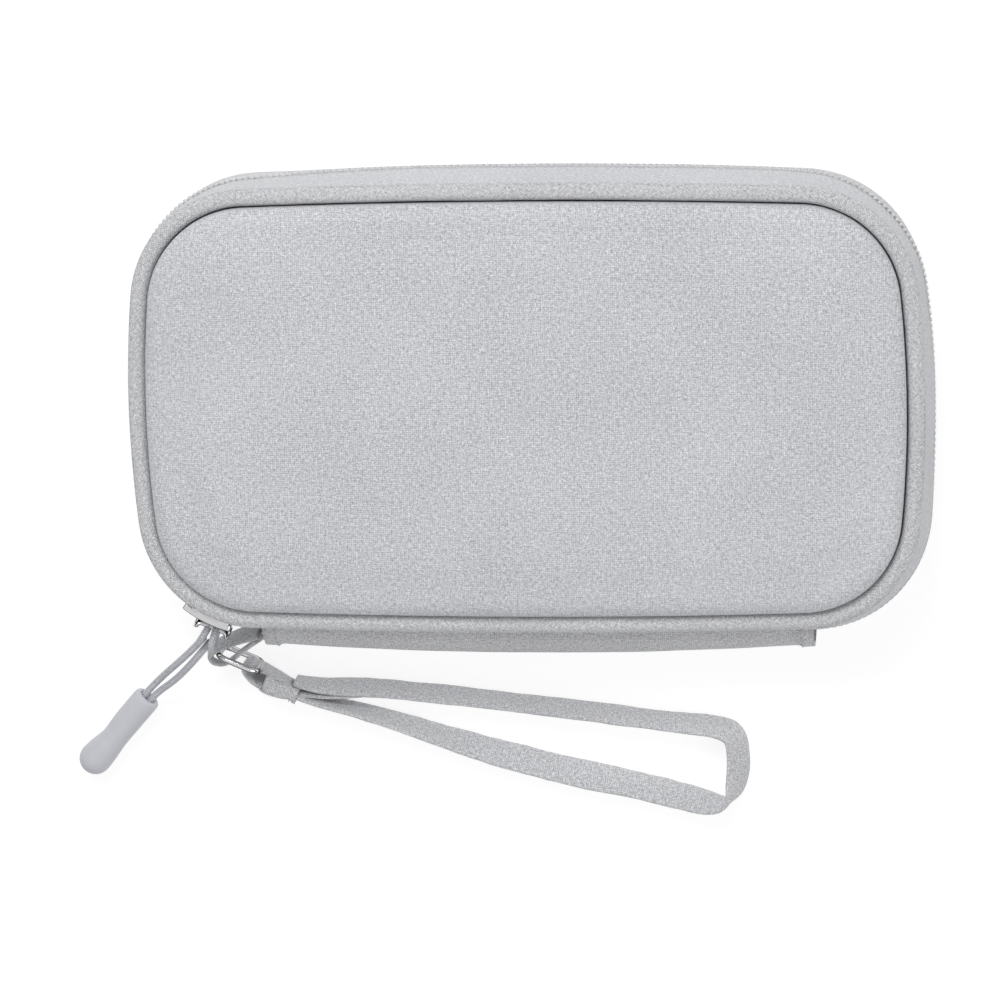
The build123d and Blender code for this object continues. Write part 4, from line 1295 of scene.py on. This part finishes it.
wire.turn(bend_centre + bail_along * (2 * leg.length - 2 * BAIL_BEND), -bail_along.cross(bail_out), -90)
wire.run(-bail_out * leg_rise)
finish_piece("slider_bail_arch", wire.capped(), chrome, "slider", ["slider_bail"])

# %% Ring
RING_WIRE = 0.75 * MM
RING_LENGTH, RING_HEIGHT, RING_CORNER = 10.2 * MM, 10.8 * MM, 2.4 * MM
left_wire = Vector(joints["ring_swing"]["pos_m"])
right_wire = Vector(joints["strap_swing"]["pos_m"])
right_wire.z = left_wire.z
left_wire, right_wire = settled(left_wire), settled(right_wire)
ring_along = (right_wire - left_wire).normalized()
ring_up = Vector((0, 0, 1))
ring_axis = ring_along.cross(ring_up)
half_run, half_rise = RING_LENGTH / 2 - RING_CORNER, RING_HEIGHT / 2 - RING_CORNER
ring_middle = (left_wire + right_wire) / 2
start = ring_middle - ring_along * half_run - ring_up * (RING_HEIGHT / 2)
wire = Wire(start, ring_along, RING_WIRE, 1.0, 18, ring_up)
heading, side = ring_along, ring_up
place = start
for run_length in (half_run, half_rise, half_run, half_rise):
    wire.run(heading * (2 * run_length))
    place = place + heading * (2 * run_length)
    centre = place + side * RING_CORNER
    wire.turn(centre, ring_axis, 90)
    place = centre + heading * RING_CORNER
    heading, side = side, -heading
finish_piece("strap_ring_wire", wire.closed(), chrome, "ring", ["strap_ring"])

# %% [markdown]
# ## Hitch
# The cord goes twice round the bail's bar and its two ends come out side by side:
# a lark's head. Two turns of cord make it; the short bight across them is not built.
# a lark's head. Two turns of cord and the short bight across them make it.

# %% Hitch
HITCH_SPACING = 1.3 * MM
bm = bmesh.new()
for side, hitch_radius in ((-1, 2.1 * MM), (1, 2.7 * MM)):
    centre = bar + bail_along * (side * HITCH_SPACING)
    loop_places = []
    for i in range(33):
        a = 2 * pi * i / 32
        radial = bail_out * cos(a) + Vector((0, 0, 1)) * sin(a)
        along = -bail_out * sin(a) + Vector((0, 0, 1)) * cos(a)
        slant = bail_along * (side * 0.35 * MM * cos(a))
        turned = Matrix((radial, along.cross(radial), along)).transposed().to_4x4()
        loop_places.append(Matrix.Translation(centre + radial * hitch_radius + slant) @ turned)
    turn_bm = bmesh.new()
    carry(turn_bm, circle_section(PULL_CORD / 2, 12), loop_places, closed=True)
    made = bpy.data.meshes.new("turn")
    turn_bm.to_mesh(made)
    turn_bm.free()
    bm.from_mesh(made)
    bpy.data.meshes.remove(made)
hitch = finish_piece("pull_hitch_turns", bm, pull_braid, "hitch", ["pull_hitch"])

# %% [markdown]
# ## Rubber tip
# The tip is a soft moulded grip, round in section: a straight neck, a waist where
# a thumb sits, and a fuller end. Its profile is spun about its axis, and then the
# thumb's side is scooped.

# %% Rubber tip
TIP_LENGTH, NECK, BULB = 25.2 * MM, 3.35 * MM, 3.95 * MM
tip_side = tip_axis.cross(tip_across)
tip_turn = Matrix((tip_axis, tip_across, tip_side)).transposed().to_4x4()
tip_place = Matrix.Translation(tip_mouth) @ tip_turn
profile = [(2.6, 0.0), (2.6, 1.75), (0.35, 1.95), (0.0, 2.4), (0.08, 2.85), (0.42, 3.2), (1.1, 3.35)]
profile += [(x, NECK / MM) for x in (3, 5, 7, 9)]
for i in range(9):
    share = i / 8
    x = 11 + share * (TIP_LENGTH / MM - BULB / MM - 11)
    ease = share * share * (3 - 2 * share)
    dip = sin(min(share / 0.6, 1) * pi) if share < 0.6 else 0.0
    profile.append((x, NECK / MM + (BULB - NECK) / MM * ease - 0.06 * dip))
for i in range(1, 9):
    a = pi / 2 * (1 - i / 8)
    profile.append(((TIP_LENGTH - BULB + BULB * cos(a)) / MM, BULB * sin(a) / MM))
bm = bmesh.new()
previous, tip_edges = None, []
for x, radius in profile:
    vert = bm.verts.new((x * MM, radius * MM, 0))
    if previous:
        tip_edges.append(bm.edges.new((previous, vert)))
    previous = vert
bmesh.ops.spin(
    bm, geom=[*bm.verts, *tip_edges], cent=(0, 0, 0), axis=(1, 0, 0), angle=2 * pi, steps=40,
    use_merge=True,
)
bmesh.ops.remove_doubles(bm, verts=bm.verts, dist=1e-6)
SCOOP_AT, SCOOP_LENGTH, SCOOP_DEPTH = 14.2 * MM, 3.6 * MM, 0.62 * MM
for vert in bm.verts:
    x, y, z = vert.co
    thumb = max(0.0, -y / BULB) ** 2
    vert.co.y += SCOOP_DEPTH * thumb * exp(-(((x - SCOOP_AT) / SCOOP_LENGTH) ** 2))
bmesh.ops.transform(bm, matrix=tip_place, verts=bm.verts)
tip = finish_piece("pull_tip_grip", bm, rubber, "pull", ["pull_tip"])

# %% [markdown]
# ## Ring tab, leaf, keeper and tail
# The same folded cloth makes the small pieces. The tab leaves the spine's end,
# goes round the ring's left wire and comes back. The strap's own end goes round
# the right wire, and the keeper, a short wrapped band, holds everything together.


# %% Folded bands
def folded_band(name, route, width, thickness, body, node=None, resolution=10):
    """A band on edge along a route of x, y, z in mm and a lean in degrees."""
    line = smooth_line([settled(Vector(point[:3]) * MM) for point in route], resolution)
    leans = smooth_line([(point[3] * MM, 0, 0) for point in route], resolution)

    def crumple(vert, index):
        swell = 1 + 0.09 * noise.noise(vert.co * 110) + 0.05 * noise.noise(vert.co * 380)
        vert.co = line[index] + (vert.co - line[index]) * swell

    bm = bmesh.new()
    carry(bm, band_section(width, thickness, 18),
          places_on(line, leans=[value.x / MM for value in leans]), shape=crumple)
    return finish_piece(name, bm, strap_cloth, body, [node] if node else [])


TAB_ROUTE = [
    (-65.4, -55.5, 13.6, 30), (-69.8, -57.4, 11.6, 30), (-73.2, -58.9, 10.2, 27),
    (-76.8, -60.9, 8.6, 20), (-79.2, -63.0, 7.0, 12), (-78.5, -65.6, 6.3, 6),
    (-75.4, -66.1, 6.0, 4), (-72.9, -64.2, 6.8, 4), (-70.0, -61.3, 9.0, 5),
    (-65.6, -57.8, 12.4, 6),
]
ring_tab = folded_band("ring_tab_loop", TAB_ROUTE, 5.5 * MM, 1.25 * MM, "back_half", "ring_tab")

# %% Strap leaf round the ring
keeper_low, keeper_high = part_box("strap_keeper")
KEEPER_AZIMUTH = radians(-20) + STRAP_TURN
keeper_along = Vector((cos(KEEPER_AZIMUTH), sin(KEEPER_AZIMUTH), 0))
keeper_across = Vector((-keeper_along.y, keeper_along.x, 0))
keeper_centre = settled((keeper_low + keeper_high) / 2 + Vector((-2.3, -0.35, 0)) * MM)
LEAF_ROUTE = [
    (-59.4, -70.6, 5.2, -4), (-62.9, -68.7, 5.2, 0), (-66.3, -66.9, 5.2, 5),
    (-69.3, -65.5, 5.2, 6), (-71.1, -66.4, 5.1, 2), (-69.9, -68.4, 5.1, -6),
    (-66.8, -70.5, 5.0, -16), (-62.5, -72.3, 5.0, -10), (-59.1, -72.8, 5.0, 0),
]
strap_leaf = folded_band("strap_leaf_loop", LEAF_ROUTE, 7.0 * MM, 1.25 * MM, "strap", "strap_leaf")

# %% Keeper
KEEPER_LENGTH, KEEPER_WALL, KEEPER_INSIDE = 8.6 * MM, 0.75 * MM, 2.9 * MM
keeper_height = keeper_high.z - keeper_low.z - 1.8 * MM


def keeper_ring(grow):
    """A rounded rectangle round the strap, as a squared ellipse."""
    width, height = KEEPER_INSIDE / 2 + grow, keeper_height / 2 - KEEPER_WALL + grow
    points = []
    for i in range(28):
        c, s = cos(2 * pi * i / 28), sin(2 * pi * i / 28)
        points.append((height * copysign(abs(c) ** 0.45, c), width * copysign(abs(s) ** 0.45, s)))
    return points


bm = bmesh.new()
keeper_steps = 16
keeper_line = [
    keeper_centre + keeper_along * (KEEPER_LENGTH * (i / keeper_steps - 0.5))
    for i in range(keeper_steps + 1)
]


def keeper_shape(vert, index):
    """Uneven wrapping, pulled in by the stitches near its far end."""
    middle = keeper_line[index]
    share = index / keeper_steps
    pull = 1 - 0.2 * exp(-(((share - 0.82) / 0.09) ** 2)) + 0.07 * noise.noise(vert.co * 260)
    offset = vert.co - middle
    lift = offset.dot(keeper_across)
    vert.co = middle + Vector((0, 0, offset.z)) + keeper_across * lift * pull
    vert.co += keeper_across * (0.6 * MM * noise.noise(Vector((share * 3, offset.z * 120, 3))))
    vert.co.z = max(vert.co.z + 0.5 * MM * noise.noise(Vector((share * 4, 7, 1))), 0.0003)


carry(bm, keeper_ring(KEEPER_WALL), places_on(keeper_line), shape=keeper_shape)
keeper = finish_piece("strap_keeper_wrap", bm, strap_cloth, "strap",
                      ["strap_keeper"])

# %% Rolled corner of the keeper, and its stitches
CURL_ROUTE = [
    (-60.6, -74.0, 5.0, -6), (-63.6, -73.6, 5.2, -8), (-66.2, -72.6, 5.3, -8),
    (-67.3, -71.4, 5.3, -6), (-66.6, -70.5, 5.2, -4), (-65.6, -71.2, 5.1, -2),
    (-65.9, -71.9, 5.1, 0),
]
curl = folded_band("keeper_rolled_corner", CURL_ROUTE, 7.6 * MM, 0.8 * MM, "strap")

bm = bmesh.new()
for side in (-1, 1):
    for i in range(5):
        centre = keeper_centre + keeper_along * (KEEPER_LENGTH * 0.32)
        centre += keeper_across * (side * (KEEPER_INSIDE / 2 + KEEPER_WALL) * 0.84)
        centre.z = (1.8 + 1.6 * i) * MM
        stitch_row(bm, [Matrix.Translation(centre)], 1.2 * MM, 0.15 * MM)
finish_piece("keeper_stitches", bm, thread, "strap")

# %% Tail
TAIL_WIDTH, TAIL_THICKNESS = 7.0 * MM, 1.2 * MM
tail_low, tail_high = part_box("strap_tail")
tail_start = keeper_centre + keeper_along * 0.4 * MM
tail_out = tail_start + keeper_along * 7.5 * MM
tail_end = keeper_centre + Vector((19.8, -1.5, 0)) * MM
tail_route = [tail_start, tail_out, tail_end]
for point in tail_route:
    point.z = (tail_low.z + tail_high.z) / 2
bm = bmesh.new()
carry(bm, band_section(TAIL_WIDTH, TAIL_THICKNESS), places_on(smooth_line(tail_route, 10)))
tail = finish_piece("strap_tail_end", bm, strap_cloth, "strap", ["strap_tail"])

# %% [markdown]
# ## Inside the pouch
# Opening the lid shows two lined trays. The back tray has two rows of elastic
# loops for leads, and the lid has a net pocket with a bound edge.

# %% Linings
lining_low, lining_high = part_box("front_lining")
LINING_OFFSET, LINING_WALL_OFFSET = -8.2 * MM, -2.9 * MM
LEDGE_Z = MIDDLE_Z + 7.8 * MM


def tray_bmesh():
    """The lining: a floor, a side, a ledge and a short upright hem."""
    bm = bmesh.new()
    bmesh.ops.create_grid(bm, x_segments=64, y_segments=40, size=1)
    for vert in bm.verts:
        a, b = vert.co.x, vert.co.y
        ring = max(abs(a), abs(b))
        if ring > 1e-9:
            square = (a / ring * HALF_X, b / ring * HALF_Y + CENTRE_Y)
            rim = zip_line.at(zip_line.locate(*square)[0], LINING_OFFSET - 0.3 * MM)
            share = sin(min(ring, 1.0) * pi / 2)
            vert.co.x = rim.x * share
            vert.co.y = CENTRE_Y + (rim.y - CENTRE_Y) * share
        ripple = 0.35 * MM * noise.noise(Vector((vert.co.x, vert.co.y, 0.4)) * 45)
        vert.co.z = lining_high.z - 0.35 * MM + ripple * (1 - ring**4) * 0.5
    edges = [edge for edge in bm.edges if edge.is_boundary]
    for offset, height in (
        (LINING_OFFSET, lining_high.z - 1.5 * MM), (LINING_OFFSET, LEDGE_Z + 0.4 * MM),
        (LINING_OFFSET + 0.4 * MM, LEDGE_Z), (LINING_WALL_OFFSET - 0.5 * MM, LEDGE_Z),
        (LINING_WALL_OFFSET, LEDGE_Z - 0.5 * MM), (LINING_WALL_OFFSET, lining_low.z),
    ):
        made = bmesh.ops.extrude_edge_only(bm, edges=edges)["geom"]
        verts = {item for item in made if isinstance(item, bmesh.types.BMVert)}
        edges = [
            item for item in made
            if isinstance(item, bmesh.types.BMEdge) and set(item.verts) <= verts
        ]
        for vert in verts:
            distance = zip_line.locate(vert.co.x, vert.co.y)[0]
            vert.co = zip_line.at(distance, offset, height)
    flat_uv(bm)
    bmesh.ops.recalc_face_normals(bm, faces=bm.faces)
    return bm


for half, twin in (("front", False), ("back", True)):
    bm = tray_bmesh()
    if twin:
        other = flipped(bm)
        bm.free()
        bm = other
        bmesh.ops.reverse_faces(bm, faces=bm.faces)
    piece = finish_piece(f"{half}_lining_tray", bm, lining_cloth,
                         f"{half}_half", [f"{half}_lining"], outwards=False)
    wall = piece.modifiers.new("cloth thickness", "SOLIDIFY")
    wall.thickness = 0.4 * MM
    wall.offset = -1

# %% Net pocket
net_low, net_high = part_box("mesh_pocket")
binding_low, binding_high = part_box("mesh_binding")
NET_CELL, NET_YARN = 1.4 * MM, 0.45 * MM
NET_OFFSET = -9.4 * MM
net_z = (net_low.z + net_high.z) / 2
bm = bmesh.new()
reach = (net_high - net_low).xy.length / 2
cells = int(2 * reach / NET_CELL)
bmesh.ops.create_grid(bm, x_segments=cells, y_segments=cells, size=reach)
bmesh.ops.rotate(bm, cent=(0, 0, 0), matrix=Matrix.Rotation(radians(45), 3, "Z"), verts=bm.verts)
bmesh.ops.translate(bm, vec=(0, (net_low.y + net_high.y) / 2, net_z), verts=bm.verts)
outside = [
    vert for vert in bm.verts
    if vert.co.y > binding_low.y + 1 * MM or zip_line.locate(vert.co.x, vert.co.y)[1] > NET_OFFSET
]
bmesh.ops.delete(bm, geom=outside, context="VERTS")
for vert in bm.verts:
    inside = min(1.0, (NET_OFFSET - zip_line.locate(vert.co.x, vert.co.y)[1]) / (12 * MM))
    vert.co.z += 0.35 * MM * noise.noise(Vector((vert.co.x, vert.co.y, 1.7)) * 40) * inside
bmesh.ops.wireframe(bm, faces=bm.faces, thickness=NET_YARN, offset=0.0, use_replace=True,
                    use_boundary=True, use_even_offset=True)
net = finish_piece("mesh_pocket_net", bm, net_yarn, "front_half", ["mesh_pocket"])

# %% Net pocket's binding
binding_y = (binding_low.y + binding_high.y) / 2
binding_z = (binding_low.z + binding_high.z) / 2
line = [
    Vector((binding_low.x + (binding_high.x - binding_low.x) * i / 60, binding_y, binding_z))
    for i in range(61)
]
bm = bmesh.new()
carry(bm, band_section(binding_high.y - binding_low.y, 1.2 * MM),
      places_on(line, up=Vector((0, 1, 0))))
finish_piece("mesh_binding_tape", bm, elastic_cloth, "front_half", ["mesh_binding"])
bm = bmesh.new()
rows = [
    Matrix.Translation((x, binding_y + side * 2.2 * MM, binding_z - 0.6 * MM))
    @ Matrix.Rotation(radians(90), 4, "Y")
    for side in (-1, 1)
    for x in [binding_low.x + 2 * MM + 2.4 * MM * i for i in range(70)]
]
stitch_row(bm, [row for row in rows if row.translation.x < binding_high.x - 1 * MM],
           1.6 * MM, 0.15 * MM)
finish_piece("mesh_binding_stitches", bm, thread, "front_half")

# %% Elastic loops
LOOP_COUNT, LOOP_PITCH, LAND = 6, 22 * MM, 2.0 * MM
ELASTIC_WIDTH, ELASTIC_THICKNESS, LOOP_RISE = 18 * MM, 0.8 * MM, 3.3 * MM
for name in ("upper", "lower"):
    low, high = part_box(f"{name}_elastic_row")
    centre_y = (low.y + high.y) / 2
    land_z = low.z + 0.7 * MM
    line = [Vector((low.x, centre_y, land_z))]
    for index in range(LOOP_COUNT):
        left = low.x + LAND + index * (LOOP_PITCH + LAND)
        for i in range(17):
            share = i / 16
            rise = sin(pi * share) ** 0.7 * (LOOP_RISE - 0.5 * MM)
            line.append(Vector((left + LOOP_PITCH * share, centre_y, land_z + rise)))
    line.append(Vector((high.x, centre_y, land_z)))
    bm = bmesh.new()
    carry(bm, band_section(ELASTIC_WIDTH, ELASTIC_THICKNESS), places_on(line, up=Vector((0, 1, 0))))
    band = finish_piece(f"{name}_elastic_band", bm, elastic_cloth, "back_half",
                        [f"{name}_elastic_row"])
    bm = bmesh.new()
    for index in range(LOOP_COUNT + 1):
        x = low.x + LAND / 2 + index * (LOOP_PITCH + LAND)
        for row in range(9):
            y = centre_y + (row - 4) * 1.9 * MM
            place = Matrix.Translation((x, y, land_z + 0.42 * MM)) @ Matrix.Rotation(radians(90), 4, "X")
            stitch_row(bm, [place], 1.5 * MM, 0.16 * MM)
    finish_piece(f"{name}_elastic_stitches", bm, thread, "back_half")

# %% Finishes on the CAD pieces that stay
for node, made in (
    ("front_foam", foam_sheet), ("back_foam", foam_sheet),
    ("front_piping_cord", core_cotton), ("back_piping_cord", core_cotton),
    ("front_zip_stop", chrome), ("back_zip_stop", chrome),
):
    mesh = frame["nodes"][node].data
    mesh.materials.clear()
    mesh.materials.append(made)

# %% [markdown]
# ## Floor and light
# The pouch lies on a white sweep. One large soft lamp stands beyond the zip's
# side, a weaker one fills from the right, and the sky is dim low down and
# brighter overhead.

# %% Floor
floor_bm = bmesh.new()
bmesh.ops.create_grid(floor_bm, x_segments=1, y_segments=1, size=4)
floor_mesh = bpy.data.meshes.new("floor")
floor_bm.to_mesh(floor_mesh)
floor_bm.free()
floor = bpy.data.objects.new("floor", floor_mesh)
bpy.context.scene.collection.objects.link(floor)
floor.location.z = -0.0002
paper, paper_tree, paper_shader = material_with("white sweep", 0.9)
paper_shader.inputs["Base Color"].default_value = (0.32, 0.32, 0.32, 1)
paper_shader.inputs["Emission Color"].default_value = (1, 1, 1, 1)
paper_shader.inputs["Emission Strength"].default_value = 0.77
paper_shader.inputs["Specular IOR Level"].default_value = 0.1
floor_mesh.materials.append(paper)


# %% Lights
def soft_lamp(name, place, size, power, aim=(0, 0, 0)):
    lamp = bpy.data.lights.new(name, "AREA")
    lamp.shape = "RECTANGLE"
    lamp.size, lamp.size_y = size
    lamp.energy = power
    holder = bpy.data.objects.new(name, lamp)
    holder.location = place
    holder.rotation_mode = "QUATERNION"
    holder.rotation_quaternion = (Vector(place) - Vector(aim)).to_track_quat("Z", "Y")
    bpy.context.scene.collection.objects.link(holder)


soft_lamp("key", (-0.16, 0.64, 0.78), (0.6, 0.42), 5.0)
soft_lamp("fill", (0.9, -0.5, 1.0), (0.9, 0.9), 4.0)
world = bpy.data.worlds.new("studio")
bpy.context.scene.world = world
world.use_nodes = True
backdrop = world.node_tree.nodes["Background"]
backdrop.inputs["Color"].default_value = (1, 1, 1, 1)
sky = world.node_tree.nodes.new("ShaderNodeSeparateXYZ")
sky_way = world.node_tree.nodes.new("ShaderNodeTexCoord").outputs["Generated"]
world.node_tree.links.new(sky_way, sky.inputs[0])
sky_light = ranged(world.node_tree, sky.outputs["Z"], 0.1, 0.62, 0.02, 0.6)
world.node_tree.links.new(sky_light, backdrop.inputs["Strength"])
bpy.context.scene.view_settings.view_transform = "Standard"
